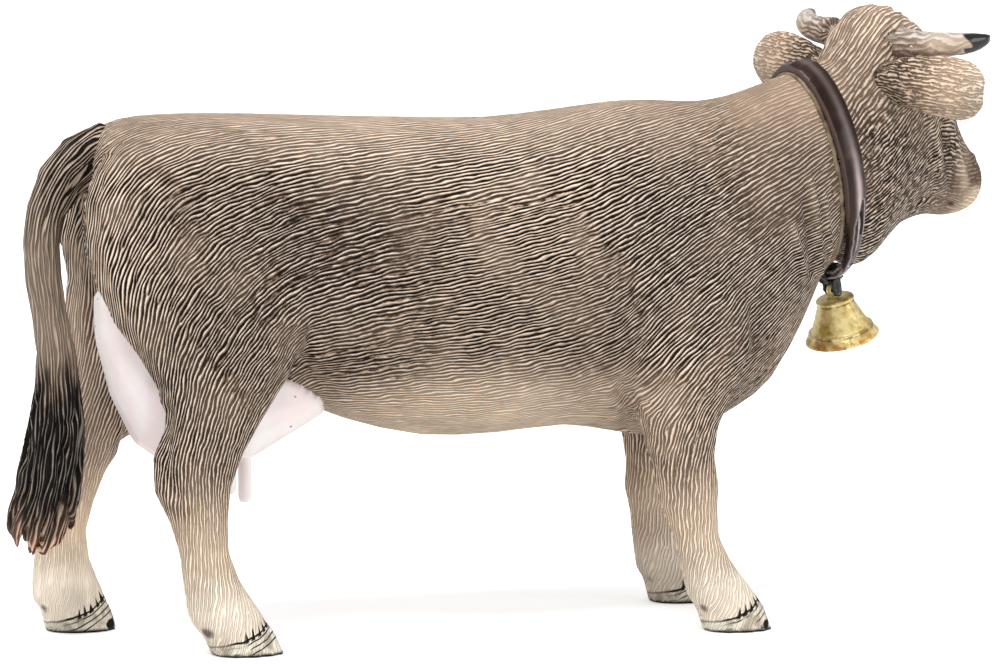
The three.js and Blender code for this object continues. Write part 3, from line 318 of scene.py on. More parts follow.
def sideRun(values):  # on the trunk and legs the hair runs alike on both sides
    total = np.zeros((len(values), 3))
    for x, z, slope in (row for rows in hairRun.values() for row in rows):
        weight = pullOf((values[:, 0] - x) ** 2 + (values[:, 2] - z) ** 2, flow["guideReach"])
        total[:, 0] += weight * math.cos(math.radians(slope))
        total[:, 2] += weight * math.sin(math.radians(slope))
    return total


def headwardRun(values):
    total = np.zeros((len(values), 3))
    for spot, direction in headRun.values():
        weight = pullOf(((values - np.array(spot)) ** 2).sum(1), flow["guideReach"])
        total += weight[:, None] * np.array(Vector(direction).normalized())
    return total


def tailRun(values):
    nearest = ((values[:, None, [0, 2]] - tailLine[None]) ** 2).sum(2)
    flat = pullOf(nearest, flow["tailReach"]) @ np.gradient(tailLine, axis=0)
    return np.stack([flat[:, 0], np.zeros(len(values)), flat[:, 1]], 1)


def evenField(values, edges, wanted, start, rounds):  # heights whose slope is the wanted direction
    count = len(values)
    both = np.concatenate([edges, edges[:, ::-1]])
    both = both[np.argsort(both[:, 0], kind="stable")]
    owner, other = both[:, 0], both[:, 1]
    starts = np.searchsorted(owner, np.arange(count))
    degree = np.bincount(owner, minlength=count).astype(float)
    lean = (wanted[owner] + wanted[other]) / 2
    rise = ((values[owner] - values[other]) * lean).sum(1)
    goal = np.add.reduceat(rise, starts)

    def spread(field):
        return degree * field - np.add.reduceat(field[other], starts)

    field = start.copy()
    left = goal - spread(field)
    scaled = left / degree
    step = scaled.copy()
    size = left @ scaled
    for _ in range(rounds):
        pushed = spread(step)
        share = size / (step @ pushed)
        field += share * step
        left -= share * pushed
        scaled = left / degree
        newSize = left @ scaled
        step = scaled + (newSize / size) * step
        size = newSize
    return field


def tightness(values, edges, heights):  # over 1 where the field climbs too slowly
    length = np.linalg.norm(values[edges[:, 0]] - values[edges[:, 1]], axis=1)
    slope = ((heights[edges[:, 0]] - heights[edges[:, 1]]) / np.maximum(length, least)) ** 2
    total, count = np.zeros(len(values)), np.zeros(len(values))
    for end in (0, 1):
        total += np.bincount(edges[:, end], slope, len(values))
        count += np.bincount(edges[:, end], minlength=len(values))
    steep = (2 * total / np.maximum(count, 1))[:, None]
    steep = evened(steep, edges, flow["evenShare"], flow["evenRounds"])
    return np.clip(1 / np.sqrt(np.maximum(steep[:, 0], flow["leastSlope"])), *flow["tightRange"])


def combHair(piece, run, sideAxis):
    values, normals, edges = points(piece), normalsOf(piece), edgesOf(piece)
    run = unit(run - normals * (run * normals).sum(1)[:, None])
    across = np.cross(normals, run) * -np.sign(normals @ np.array(sideAxis) + least)[:, None]
    for name, wanted in (("hairAcross", across), ("hairAlong", run)):
        heights = evenField(values, edges, wanted, (values * wanted).sum(1), flow["solveRounds"])
        addValues(piece, name, heights)
        if name == "hairAcross":
            addValues(piece, "hairTight", tightness(values, edges, heights))
    print("combed", piece.name)


def hairNoise(piece, size):  # uneven across and along the combed hair
    across, along = (valuesOf(piece, name) / step for name, step in zip(("hairAcross", "hairAlong"), size))
    return noiseOver(np.stack([across, along, np.zeros(len(across))], 1))


combHair(headSkin, headwardRun(points(headSkin)), (-0.53, 0.85, 0))


# horns, ears, tail, udder, strap and hanger; horns, ears, tail and udder grown into what carries them

looseForms = {  # node, voxel in mm and rounds of smoothing
    "hornNear": ("horn_right", 0.16, 6),
    "hornFar": ("horn_left", 0.16, 6),
    "earNear": ("ear_right", 0.16, 6), "earFar": ("ear_left", 0.16, 6),
    "tailSkin": ("tail", 0.26, 40), "udderSkin": ("udder", 0.4, 8),
    "strapSkin": ("collar_strap", 0.15, 8),
    "hangerSkin": ("bell_hanger", 0.08, 3),
}
seatDepth = 0.25
limbs = {  # root and tip in mm
    "hornNear": ((53.3, -3.1, 79.4), (65.2, -7.5, 79.8)),
    "hornFar": ((47.4, 6.5, 80.5), (48.8, 18.8, 82.8)),
    "earNear": ((50.7, -4.7, 74.3), (61.3, -14.4, 72.7)),
    "earFar": ((44.6, 6.1, 75.4), (40.2, 19.4, 76.6)),
}
hornHair = {"wrinkles": 21, "pitch": 0.6}
fanBehind = 0.25  # the ear's hair fans out from behind its root, as a share of its length


def looseSkin(name, node, voxel, rounds):
    piece = voxelSkin(name, (node,), voxel)
    smoothSkin(piece, rounds)
    return piece


def seatOn(piece, carrier, reach):  # what lies close to its seat grows into it
    surface = surfaceOf(carrier)
    for vert in piece.data.vertices:
        spot, normal, _, away = surface.find_nearest(vert.co, reach * mm)
        if spot is not None:
            vert.co = vert.co.lerp(spot - normal * seatDepth * mm, 1 - (away / (reach * mm)) ** 3)
    piece.data.update()


def limbEnds(piece):
    return (np.array(spot) for spot in limbs[piece.name])


def alongLimb(piece):
    root, tip = limbEnds(piece)
    return (points(piece) - root) @ (tip - root) / ((tip - root) ** 2).sum()


def fannedRun(piece):
    root, tip = limbEnds(piece)
    return unit(points(piece) - (root - fanBehind * (tip - root)))


def combHorn(piece):  # wrinkles run along the horn
    root, tip = limbEnds(piece)
    away = points(piece) - root
    run = unit(tip - root)
    side = unit(np.cross(run, (0, 0, 1)))
    angle = np.arctan2(away @ side, away @ np.cross(side, run))
    addValues(piece, "hairAcross", angle / (2 * math.pi) * hornHair["wrinkles"] * hornHair["pitch"])
    addValues(piece, "hairAlong", away @ run)
    addValues(piece, "hairTight", np.ones(len(away)))


hornNear, hornFar, earNear, earFar, tailSkin, udderSkin, strapSkin, hangerSkin = (
    looseSkin(name, *form) for name, form in looseForms.items())
for piece, carrier, reach in (
        (hornNear, headSkin, 0.75), (hornFar, headSkin, 0.75), (earNear, headSkin, 1.9),
        (earFar, headSkin, 1.9), (tailSkin, bodySkin, 0.75), (udderSkin, bodySkin, 0.75)):
    seatOn(piece, carrier, reach)
combHorn(hornNear)
combHorn(hornFar)
combHair(earNear, fannedRun(earNear), (0.5, 0.85, 0))
combHair(earFar, fannedRun(earFar), (0.9, 0.2, 0))
combHair(tailSkin, tailRun(points(tailSkin)), (0, 1, 0))


# folds, hollows and ridges carved into the skins: places, width and height in mm

bodyMarks = {
    "elbow": ([(8.7, 34.2), (10.2, 31.5), (12.2, 26.6)], 0.8, -0.55),
    "elbowBack": ([(6.6, 33.5), (8.6, 29.5)], 1.4, 0.35),
    "neckBack": ([(34.3, 54.5), (35.6, 51.0), (36.7, 48.0)], 0.5, 0.6),
    "neckMiddle": ([(37.5, 60.6), (38.6, 55.0), (40.2, 47.8)], 0.5, 0.75),
    "neckHollow": ([(36.4, 58.0), (37.4, 53.0), (38.6, 48.0)], 0.6, -0.55),
    "neckFront": ([(40.0, 58.4), (41.0, 54.0), (42.2, 49.8)], 0.5, 0.6),
    "hockHollow": ([(-54.2, 32.5), (-54.7, 28.1), (-54.9, 25.2), (-53.6, 21.8)], 0.8, -0.7),
    "hock": ([(-52.5, 31.5), (-52.6, 27.0), (-51.6, 22.5)], 1.2, 0.3),
    "flank": ([(-37.5, 41.0), (-35.0, 37.5), (-31.5, 34.0)], 1.3, -0.5),
}
headMarks = {  # on the near side, repeated on the far one
    "cheekBone": ([(63.3, 2.7, 67.7), (64.6, 4.4, 66.2), (65.7, 5.9, 64.7), (66.8, 7.5, 62.7),
                   (67.8, 8.7, 60.7), (68.8, 9.9, 58.3)], 0.85, 0.45),
    "cheekBack": ([(59.1, -0.7, 68.5), (60.2, 0.3, 67.1), (61.5, 2.2, 63.8), (62.6, 4.2, 61.1)], 1.1, 0.4),
    "cheekHollow": ([(62.2, 1.9, 66.9), (62.8, 2.7, 65.6), (64.5, 5.6, 61.7), (66.7, 8.9, 58.0)], 0.9, -0.45),
    "mouth": ([(60.4, 5.8, 56.1), (62.0, 6.8, 56.4), (64.1, 8.5, 56.2), (66.8, 10.9, 55.5),
               (69.9, 13.2, 55.6), (71.4, 14.8, 55.7), (70.5, 17.1, 55.9)], 0.5, -0.75),
    "nostril": ([(72.0, 13.6, 61.5), (72.4, 14.7, 60.9), (72.6, 14.9, 59.5)], 0.6, -0.9),
    "nostrilRim": ([(71.7, 13.0, 62.3), (71.7, 14.4, 62.3), (72.0, 15.8, 61.0)], 0.7, 0.35),
    "brow": ([(59.2, -0.9, 74.6), (60.6, -0.4, 75.3), (62.3, 1.0, 75.3), (63.6, 2.6, 74.5)], 0.8, 0.55),
    "underEye": ([(60.0, 0.1, 72.2), (61.5, 1.3, 71.7), (63.0, 2.6, 72.3)], 0.6, 0.3),
}
headMiddle = (np.array((57.83, 7.0, 74.1)), np.array((-0.5274, 0.8445, 0.0959)))
carving = {
    "nearSide": -6, "farSide": 0, "eye": (61.7, 0.85, 73.4), "eyeRadius": 1.25, "eyeHeight": 0.55,
    "lids": [(0.35, 1.35, 0.25), (-0.35, 1.0, 0.14)],  # height, then place and width in eye radii
    "poll": (50, 2, 83), "pollReach": (11, 5), "clumpSize": (0.9, 2.4), "clumpDepth": 0.5,
}
hooves = {  # the middle of each sole in mm, and the coronet's line over it
    "soles": [(-43.5, -15.9), (-60.5, 10.1), (25.3, -15.9), (26.3, 10.1)],
    "clefts": [(((2.6, 4.6), (6.5, 0.2)), 0.9), (((-6.5, 0.2), (-5.5, 3.2)), 0.6)],  # ahead and up, depth
    "cleftWidth": 0.6,
    "lineAhead": (-5.5, -1.6, 0.5, 2.4, 4),
    "lineUp": (1.3, 2.2, 3.1, 4.4, 5.2), "reach": 10, "top": 9, "lineReach": 3.0,
    "front": (-4.5, -0.5), "round": 4.2,
    "dewclaw": (-6.2, 2.2, 3.3),  # ahead, to each side and up
    "dewclawFlat": 1.4, "dewclawEdge": (1.3, 0.7), "dewclawDark": 0.8, "sole": (0.42, 0.3),
}
earHollow = {"line": (0.25, 0.85), "facing": (0.1, 0.6), "depth": 0.7, "width": 2.2}
tailLocks = {
    "swaySize": (2.2, 7), "width": 1.7, "sway": 1.1, "middle": 0.6, "height": 0.16,
    "tuftHeight": 0.55, "tuft": (37, 30), "tips": (20, 12), "tipWidth": 2.6, "tipSway": 0.8,
    "tipUp": 2.6, "tipAhead": 0.25,
}


def acrossHead(values):  # the same places on the head's other side
    middle, side = headMiddle
    return values - 2 * ((values - middle) @ side)[:, None] * side


def carveBody():
    values = points(bodySkin)
    rise = np.zeros(len(values))
    beside = (values[:, 1] < carving["nearSide"]) | (values[:, 1] > carving["farSide"])
    for line, width, height in bodyMarks.values():
        rise += height * beside * hump(lineDistance(values[:, [0, 2]], line), width)
    for legX, legY in hooves["soles"]:
        for cleft, depth in hooves["clefts"]:
            line = [(legX + ahead, legY, up) for ahead, up in cleft]
            rise -= depth * hump(lineDistance(values, line), hooves["cleftWidth"])
    raised(bodySkin, rise)


def carveHead():
    values = points(headSkin)
    rise = np.zeros(len(values))
    for side in (values, acrossHead(values)):
        for line, width, height in headMarks.values():
            rise += height * hump(lineDistance(side, line), width)
        away = np.linalg.norm(side - np.array(carving["eye"]), axis=1) / carving["eyeRadius"]
        rise += carving["eyeHeight"] * np.sqrt(np.clip(1 - away ** 2, 0, 1))
        for height, spot, width in carving["lids"]:
            rise += height * hump(away - spot, width)
    poll = fade(np.linalg.norm(values - np.array(carving["poll"]), axis=1), *carving["pollReach"])
    rise += carving["clumpDepth"] * hairNoise(headSkin, carving["clumpSize"]) * poll
    raised(headSkin, rise)


def carveEar(piece, inward):  # hollows the side that faces forward
    root, tip = limbEnds(piece)
    line = [root + (tip - root) * share for share in earHollow["line"]]
    facing = fade(normalsOf(piece) @ unit(np.array(inward)), *earHollow["facing"])
    raised(piece, -earHollow["depth"] * facing * hump(lineDistance(points(piece), line), earHollow["width"]))


def carveTail():
    across, sway = valuesOf(tailSkin, "hairAcross"), hairNoise(tailSkin, tailLocks["swaySize"])
    z = points(tailSkin)[:, 2]
    locks = np.abs(np.sin(math.pi * (across / tailLocks["width"] + tailLocks["sway"] * sway)))
    height = tailLocks["height"] + tailLocks["tuftHeight"] * fade(z, *tailLocks["tuft"])
    turn = 2 * math.pi * (across / tailLocks["tipWidth"] + tailLocks["tipSway"] * sway)
    tips = fade(z, *tailLocks["tips"]) * (1 + np.sin(turn)) / 2
    raised(tailSkin, height * (locks - tailLocks["middle"]))
    place(tailSkin, points(tailSkin) + tips[:, None] * (tailLocks["tipAhead"], 0, tailLocks["tipUp"]))


carveBody()
combHair(bodySkin, sideRun(points(bodySkin)), (0, 1, 0))
carveHead()
carveEar(earNear, (0.63, 0.76, 0))
carveEar(earFar, (0.95, 0.2, 0.1))
carveTail()


# the strap's rounded face and its slot, a painted highlight down the strap and painted shade in the slot, and
# the hanger's uneven loop

strap = {
    "sectors": 240,
    "slot": [("low", 0.14, 0.3), ("low", 0.75, 0.6), ("off", 1.25, 1.05), ("z", 58.5, 57.5)],
    "slotRounds": 4, "slotEdge": (0.3, 0.6), "rimRounds": 5, "rimGain": 2.5, "even": 0.7,
    "bulge": 0.28, "bulgeHalf": 1.8,
    "light": (0.25, 0.55),  # the painted highlight down the strap: its place ahead of the middle, and its width
    "lit": (0.85, ("z", 67, 58), ("z", 48, 54)), "edge": (1.6, 1.8), "edgeShare": 0.3,
}
hangerLumps = {"scale": 1.5, "height": 0.16}


def slotPlace(values, line):  # what lies below the strap's outer face, but not as low as its inner one
    side = unit(np.cross((0, 0, 1), np.array(neckAhead)))
    away = values - np.array(strapMiddle / mm)
    high, wide = away @ np.cross(np.array(neckAhead), side), away @ side
    out = np.hypot(high, wide)
    sectors = strap["sectors"]
    part = (np.arctan2(high, wide) / (2 * math.pi) * sectors).astype(int) % sectors
    outer = np.zeros(sectors)
    np.maximum.at(outer, part, out)
    outer = np.maximum(outer, (np.roll(outer, 1) + np.roll(outer, -1)) / 2)
    low = outer[part] - out
    return stepped({"low": low, "off": np.abs(line), "z": values[:, 2]}, strap["slot"])[:, None]


def carveStrap():
    values = points(strapSkin)
    line = (values - np.array(strapMiddle / mm)) @ np.array(neckAhead)
    line -= np.median(line)
    edges, share = edgesOf(strapSkin), strap["even"]
    slot = fade(evened(slotPlace(values, line), edges, share, strap["slotRounds"]), *strap["slotEdge"])
    nearby = evened(slot, edges, share, strap["rimRounds"])[:, 0]
    slot = slot[:, 0]
    # painted highlight: a pale band down the middle of the strap's lower half, and a pale rim round the slot
    ahead, width = strap["light"]
    lit = washed({"z": values[:, 2]}, 1 - strap["lit"][0], strap["lit"]) * hump(line - ahead, width)
    slotRim = np.clip(strap["rimGain"] * nearby, 0, 1)
    addValues(strapSkin, "paintedHighlight", np.maximum(lit, slotRim) * (1 - slot))
    # painted shade: the inside of the slot is painted darker
    addValues(strapSkin, "slot", slot)
    addValues(strapSkin, "rim", strap["edgeShare"] * fade(np.abs(line), *strap["edge"]))
    raised(strapSkin, strap["bulge"] * np.clip(1 - (line / strap["bulgeHalf"]) ** 2, 0, 1))


carveStrap()
raised(hangerSkin, hangerLumps["height"] * noiseOver(points(hangerSkin) * hangerLumps["scale"]))
print("carved")


# the bead of glue round the neck, behind the collar

glue = {  # mm
    "back": 1.77, "ahead": 0.15, "sunk": 0.08, "radius": 0.42, "roundness": 3, "steps": 150,
    "reach": 30, "wander": 0.2,
    "wanderScale": 500,  # per metre
    "uneven": 0.35, "unevenScale": 900,
}


def glueBead():
    surface = surfaceOf(bodySkin)
    centre = strapMiddle - neckAhead * glue["back"] * mm
    acrossNeck = Vector((0, 0, 1)).cross(neckAhead).normalized()
    upNeck = neckAhead.cross(acrossNeck)
    curve = bpy.data.curves.new("glueBead", "CURVE")
    curve.dimensions = "3D"
    curve.bevel_depth = glue["radius"] * mm
    curve.bevel_resolution = glue["roundness"]
    spline = curve.splines.new("POLY")
    spots = []
    for step in range(glue["steps"]):
        angle = 2 * math.pi * step / glue["steps"]
        outward = acrossNeck * math.cos(angle) + upNeck * math.sin(angle)
        spot = surface.ray_cast(centre + outward * glue["reach"] * mm, -outward)[0]
        if spot is not None:
            ahead = glue["ahead"] + noise.noise(spot * glue["wanderScale"]) * glue["wander"]
            spots.append(spot + neckAhead * ahead * mm - outward * glue["sunk"] * mm)
    spline.points.add(len(spots) - 1)
    for point, spot in zip(spline.points, spots):
        point.co = (*spot, 1)
        point.radius = 1 + glue["uneven"] * noise.noise(spot * glue["unevenScale"])
    spline.use_cyclic_u = True
    rough = linked("glueCurve", curve)
    mesh = bpy.data.meshes.new_from_object(rough.evaluated_get(bpy.context.evaluated_depsgraph_get()))
    bpy.data.objects.remove(rough)
    mesh.name = "glueBead"
    return linked("glueBead", mesh)


glueSkin = glueBead()


# the bell, turned about its own axis, with its eye on the hanger's pin

bellForm = {  # mm
    "radius": 5.28, "height": 6.3, "lip": -7.36, "steps": 112,
    "outline": [  # out and up from the lip, as shares of the radius and height
        (0.0, 1.0), (0.22, 1.0), (0.4, 0.997), (0.47, 0.985), (0.505, 0.968), (0.518, 0.945), (0.518, 0.92),
        (0.505, 0.9), (0.488, 0.887), (0.488, 0.872), (0.503, 0.84), (0.53, 0.78), (0.575, 0.69), (0.62, 0.6),
        (0.668, 0.5), (0.715, 0.41), (0.757, 0.335), (0.785, 0.3), (0.79, 0.288), (0.785, 0.276),
        (0.81, 0.268), (0.85, 0.262), (0.878, 0.245), (0.885, 0.222), (0.872, 0.206), (0.868, 0.196),
        (0.885, 0.182), (0.915, 0.152), (0.95, 0.112), (0.98, 0.075), (1.0, 0.04), (0.995, 0.014),
        (0.975, 0.0), (0.94, 0.004), (0.87, 0.08), (0.77, 0.19), (0.66, 0.32), (0.56, 0.46), (0.47, 0.62),
        (0.4, 0.78), (0.35, 0.85), (0.2, 0.87), (0.0, 0.87)],
    "eyeRing": 0.82, "eyeThick": 0.18, "eyeWide": 0.46, "eyeSteps": 16, "eyeTurns": 40,
    "neck": {"segments": 24, "radius1": 0.62, "radius2": 0.44, "depth": 0.5},
    "neckUp": -0.98, "weld": 0.001,
    "rings": [(0.225, 0.03), (0.885, 0.02)],  # place and width as shares of the height
    "brown": (0.3, 0.05),
}


def bellFrame():
    pin = Vector(bellSwing["pos_m"])
    hinge = Vector(bellSwing["axis"]).normalized()
    corners = np.array([vert.co for vert in nodes["bell"].data.vertices])
    upright = (pin - Vector(corners.mean(axis=0))).normalized()
    upright = (upright - hinge * upright.dot(hinge)).normalized()
    facing = Matrix((hinge.cross(upright), hinge, upright)).transposed().to_4x4()
    return Matrix.Translation(pin) @ facing


def turned(bm, line, closed, axis, steps):  # a line of points spun once round the axis
    chain = [bm.verts.new(spot) for spot in line]
    after = chain[1:] + chain[:1] if closed else chain[1:]
    edges = [bm.edges.new(pair) for pair in zip(chain, after)]
    bmesh.ops.spin(
        bm, geom=chain + edges, cent=(0, 0, 0), axis=axis, angle=2 * math.pi, steps=steps, use_merge=True)


def turnedBell():
    bm = bmesh.new()
    cup = [
        (out * bellForm["radius"], 0, bellForm["lip"] + high * bellForm["height"])
        for out, high in bellForm["outline"]]
    turned(bm, cup, False, (0, 0, 1), bellForm["steps"])
    ring = []
    for step in range(bellForm["eyeSteps"]):
        angle = 2 * math.pi * step / bellForm["eyeSteps"]
        out = bellForm["eyeRing"] + bellForm["eyeThick"] * math.cos(angle)
        ring.append((out, bellForm["eyeWide"] * math.sin(angle), 0))
    turned(bm, ring, True, (0, 1, 0), bellForm["eyeTurns"])
    bmesh.ops.create_cone(
        bm, cap_ends=True, matrix=Matrix.Translation((0, 0, bellForm["neckUp"])), **bellForm["neck"])
    bmesh.ops.remove_doubles(bm, verts=bm.verts, dist=bellForm["weld"])
    bmesh.ops.recalc_face_normals(bm, faces=bm.faces)
    bmesh.ops.scale(bm, vec=(mm, mm, mm), verts=bm.verts)
    bmesh.ops.transform(bm, matrix=bellFrame(), verts=bm.verts)
    mesh = bpy.data.meshes.new("bellSkin")
    bm.to_mesh(mesh)
    bm.free()
    return linked("bellSkin", mesh)


def stainBell():  # where dark wash lies in the rings and brown along the lip
    upright = bellFrame().inverted()
    high = np.array([(upright @ vert.co).z for vert in bellSkin.data.vertices]) / mm
    high = (high - bellForm["lip"]) / bellForm["height"]
    rings = sum(hump(high - spot, width) for spot, width in bellForm["rings"])
    addValues(bellSkin, "rings", np.clip(rings, 0, 1))
    addValues(bellSkin, "brown", fade(high, *bellForm["brown"]))


bellSkin = turnedBell()
stainBell()


# paint laid over the hair, from a few named colours and soft spots; some spots and folds are painted light
# and shade

def tint(red, green, blue):  # as a screen shows it, 0 to 255
    return np.array([((value / 255 + 0.055) / 1.055) ** 2.4 for value in (red, green, blue)])


palette = {
    "hide": tint(198, 171, 147),
    "dark": tint(128, 106, 90),
    "rose": tint(240, 211, 186),
    "cream": tint(244, 220, 192),
    "white": tint(254, 241, 221),
    "umber": tint(92, 70, 58),
    # painted highlight on the upper side of each hair ridge
    "crest": tint(255, 238, 220),
    # near black in the hair's grooves: partly the figure's dark wash, partly painted shade
    "groove": tint(16, 9, 6),
    "tan": tint(142, 112, 88),
    "hornRoot": tint(152, 128, 106),
    "hornCream": tint(208, 186, 162),
    "hornGrey": tint(204, 198, 192),
    "hornTip": tint(22, 20, 20),
    "beige": tint(232, 204, 178),
    "earRim": tint(236, 218, 198),
    "tailHide": tint(170, 150, 132),
    "tailBrown": tint(132, 106, 88),
    "black": tint(20, 16, 14),
    "eye": tint(20, 16, 14) * 0.6,
    "salmon": tint(226, 176, 152),
}
bodySpots = [  # x and z in mm, reach along and up, colour and strength
    ((-32, 55), (20, 17), "dark", 1.0),
    ((-46, 44), (14, 13), "dark", 0.7),
    ((-50, 29), (12, 12), "dark", 0.5),
    ((-50, 57), (14, 13), "dark", 0.4),
    ((-8, 45), (26, 11), "dark", 0.4),
    ((6, 38), (9, 11), "dark", 0.55),
    ((17, 53), (16, 18), "dark", 0.95),
    ((34, 56), (13, 20), "dark", 0.8),
    ((-30, 37), (12, 9), "dark", 0.35),
    ((-61, 52), (6, 20), "rose", 0.45),
    # the rose band along the top of the back: partly the figure's pale paint, partly painted light from above
    ((-20, 70), (46, 9), "rose", 1.0),
    ((-5, 61), (14, 8), "rose", 0.3),
    # the rose band along the belly: painted light reflected up from the floor
    ((-10, 31), (30, 8), "rose", 1.0),
    ((26, 42), (9, 10), "dark", 0.75),
    ((37, 58), (10, 15), "umber", 0.35),
    # the cream band along the belly: painted light reflected up from the floor
    ((-10, 30), (30, 9), "cream", 0.8),
]
# painted light: the far thigh, which stands in shade, is painted rose and its grooves made fainter
farThighPaintedLight = (("y", 2, 5), ("x", -48, -52), ("z", 52, 44))  # fields, and where each starts and ends
bodyPaint = {
    "spotEdge": (1.15, 0.1),
    # painted light and shade on the neck folds: cream on the ridges, umber in the hollow
    "reliefLightAndShade": {"neckBack": "cream", "neckMiddle": "cream", "neckHollow": "umber", "neckFront": "cream"},
    "markWider": 1.1, "markAhead": 30, "markShare": 0.4,
    "layers": [("rose", 0.95, *farThighPaintedLight), ("cream", 0.95, ("z", 27, 13)), ("white", 0.95, ("z", 15, 6))],
    "wash": [
        (-0.4, ("z", 30, 13)),
        (-0.3, ("z", 11, 6)),
        # fainter grooves along the top of the back and on the belly, which are painted lighter as painted
        # light
        (-0.4, ("z", 63, 71)),
        (-0.5, ("belly", 1.2, 0.3)),
        (-0.3, ("x", 24, 31), ("z", 50, 58)),
        (-0.35, *farThighPaintedLight)],
    "belly": ((-10, 30), (30, 9)), "bellyLow": 24,
    "hock": [(-55, 33), (-55, 25), (-53.5, 20)],
    "hockReach": (4, 1), "pale": (26, 14),
}
headPaint = {
    "muzzleAxis": (0.82, 0.52, -0.25),
    "layers": [
        ("dark", 0.65, ("z", 76, 66)),
        ("rose", 0.6, ("z", 77, 82)),
        ("umber", 0.8, ("muzzle", 45, 49), ("z", 56.5, 59)),
        ("cream", 0.7, ("muzzle", 47, 50), ("z", 58.5, 57))],
    # painted light and shade on the cheek: umber in the hollow, cream on the ridges
    "reliefLightAndShade": [("cheekHollow", "umber", 0.8), ("cheekBone", "cream", 0.7), ("cheekBack", "cream", 0.7)],
    "markNarrower": 0.9,
    "lines": [("mouth", 0.45), ("nostril", 0.85)],
    "lineCore": 0.3, "lineDark": 0.85, "eyeEdge": (1.32, 1.12),
    "wash": [(0.75, ("muzzle", 39, 47)), (0.4, ("z", 64, 74))],
}
hornSway = {"height": 0.05, "across": (1.3, 0, 3.1)}
tailStreaks = {
    "size": (0.9, 0.9, 0.16),
    "edges": {"blackEdge": (6, -0.35, -66), "brownEdge": (5, 0, 0), "salmonEdge": (4, 0.3, -70)},
}
limbPaint = {  # the lowest colour and the layers over it; the grooves' dark wash with painted shade and the ridges' painted highlight, pale and gloss, each from a start and what is added
    "horn": {
        "lowest": "hornRoot",
        "layers": [
            # hornGrey on faces turned up is painted light on the horn's top; dark on faces turned down is
            # painted shade underneath
            ("hornCream", 1, ("along", 0.12, 0.4)), ("hornGrey", 0.6, ("up", 0.1, 0.8)),
            ("dark", 0.6, ("up", -0.3, -0.8)), ("hornTip", 1, ("tip", 0.735, 0.765))],
        "wash": (0, (0.45, ("tip", 0.765, 0.735)), (0.5, ("tip", 0.765, 0.735), ("along", 0.4, 0.1))),
        "gloss": (0, (1, ("tip", 0.735, 0.765))),
    },
    "ear": {
        "lowest": "beige",
        "layers": [
            ("hide", 1, ("along", 0.6, 0.2)), ("dark", 0.5, ("along", 0.3, 0.0)),
            ("earRim", 0.7, ("along", 0.7, 1.0))],
        "wash": (0.9, (-0.4, ("along", 0.15, 0.8))),
        "pale": (0.1, (0.5, ("along", 0.2, 0.7))),
        "gloss": (0,),
    },
    "tail": {
        "lowest": "tailHide",
        "layers": [
            ("tailBrown", 0.6, ("z", 41, 34)), ("black", 1, ("blackEdge", 37.5, 33.5)),
            ("tailBrown", 0.85, ("brownEdge", 21, 17.5)), ("salmon", 1, ("salmonEdge", 17.5, 14))],
        "wash": (0.45, (0.55, ("z", 52, 60)), (0.45, ("z", 40, 34))),
        "pale": (0,),
        "gloss": (0,),
    },
}
noHoof = {"hoofLine": 3.0, "hoofFront": 0.0, "hoofRound": 0.0, "mark": 0.0, "sole": 0.0, "pale": 0.0}


def mixed(colours, name, share):
    return colours + (palette[name] - colours) * share[:, None]


def layered(colours, fields, layers):
    for name, strength, *steps in layers:
        colours = mixed(colours, name, strength * stepped(fields, steps))
    return colours


def bare(piece, name):
    return np.tile(palette[name], (len(piece.data.vertices), 1))


def setPaint(piece, colours, **values):
    made = piece.data.attributes.new("paint", "FLOAT_COLOR", "POINT")
    full = np.concatenate([colours, np.ones((len(colours), 1))], axis=1)
    made.data.foreach_set("color", full.astype(np.float32).ravel())
    for name, value in values.items():
        addValues(piece, name, np.broadcast_to(value, len(colours)))


def hoofValues(values):
    x, y, z = values.T
    line = np.full(len(values), hooves["lineReach"])
    front, mark, turn = (np.zeros(len(values)) for _ in range(3))
    clawAhead, clawSide, clawUp = hooves["dewclaw"]
    for legX, legY in hooves["soles"]:
        ahead, aside = x - legX, y - legY
        near = (np.hypot(ahead, aside) < hooves["reach"]) & (z < hooves["top"])
        top = np.interp(ahead, hooves["lineAhead"], hooves["lineUp"])
        line[near] = np.clip(z - top, -hooves["lineReach"], hooves["lineReach"])[near]
        front[near] = fade(ahead, *hooves["front"])[near]
        turn[near] = (hooves["round"] * np.arctan2(aside, ahead + 1))[near]
        for side in (-clawSide, clawSide):
            away = np.hypot(np.hypot(ahead - clawAhead, aside - side), hooves["dewclawFlat"] * (z - clawUp))
            mark = np.maximum(mark, fade(away, *hooves["dewclawEdge"]))
    return {
        "hoofLine": line, "hoofFront": front, "hoofRound": turn, "mark": hooves["dewclawDark"] * mark,
        "sole": fade(z, *hooves["sole"])}


def paintBody():
    values = points(bodySkin)
    x, y, z = values.T
    flat = values[:, [0, 2]]
    (bellyX, bellyZ), (bellyLong, bellyHigh) = bodyPaint["belly"]
    belly = np.hypot((x - bellyX) / bellyLong, (z - bellyZ) / bellyHigh)
    fields = {"x": x, "y": y, "z": z, "belly": np.where(z > bodyPaint["bellyLow"], belly, np.inf)}
    colours = bare(bodySkin, "hide")
    for (spotX, spotZ), (along, high), name, strength in bodySpots:
        away = np.hypot((x - spotX) / along, (z - spotZ) / high)
        colours = mixed(colours, name, strength * fade(away, *bodyPaint["spotEdge"]))
    # painted highlight on the neck folds' ridges, painted shade in their hollow
    for mark, name in bodyPaint["reliefLightAndShade"].items():
        line, width, _ = bodyMarks[mark]
        reliefShading = hump(lineDistance(flat, line), bodyPaint["markWider"] * width)
        colours = mixed(colours, name, bodyPaint["markShare"] * reliefShading * (x > bodyPaint["markAhead"]))
    colours = layered(colours, fields, bodyPaint["layers"])
    hock = fade(lineDistance(flat, bodyPaint["hock"]), *bodyPaint["hockReach"])
    setPaint(
        bodySkin, colours, gloss=0.0, wash=np.maximum(washed(fields, 1, *bodyPaint["wash"]), hock),
        pale=fade(z, *bodyPaint["pale"]), **hoofValues(values))


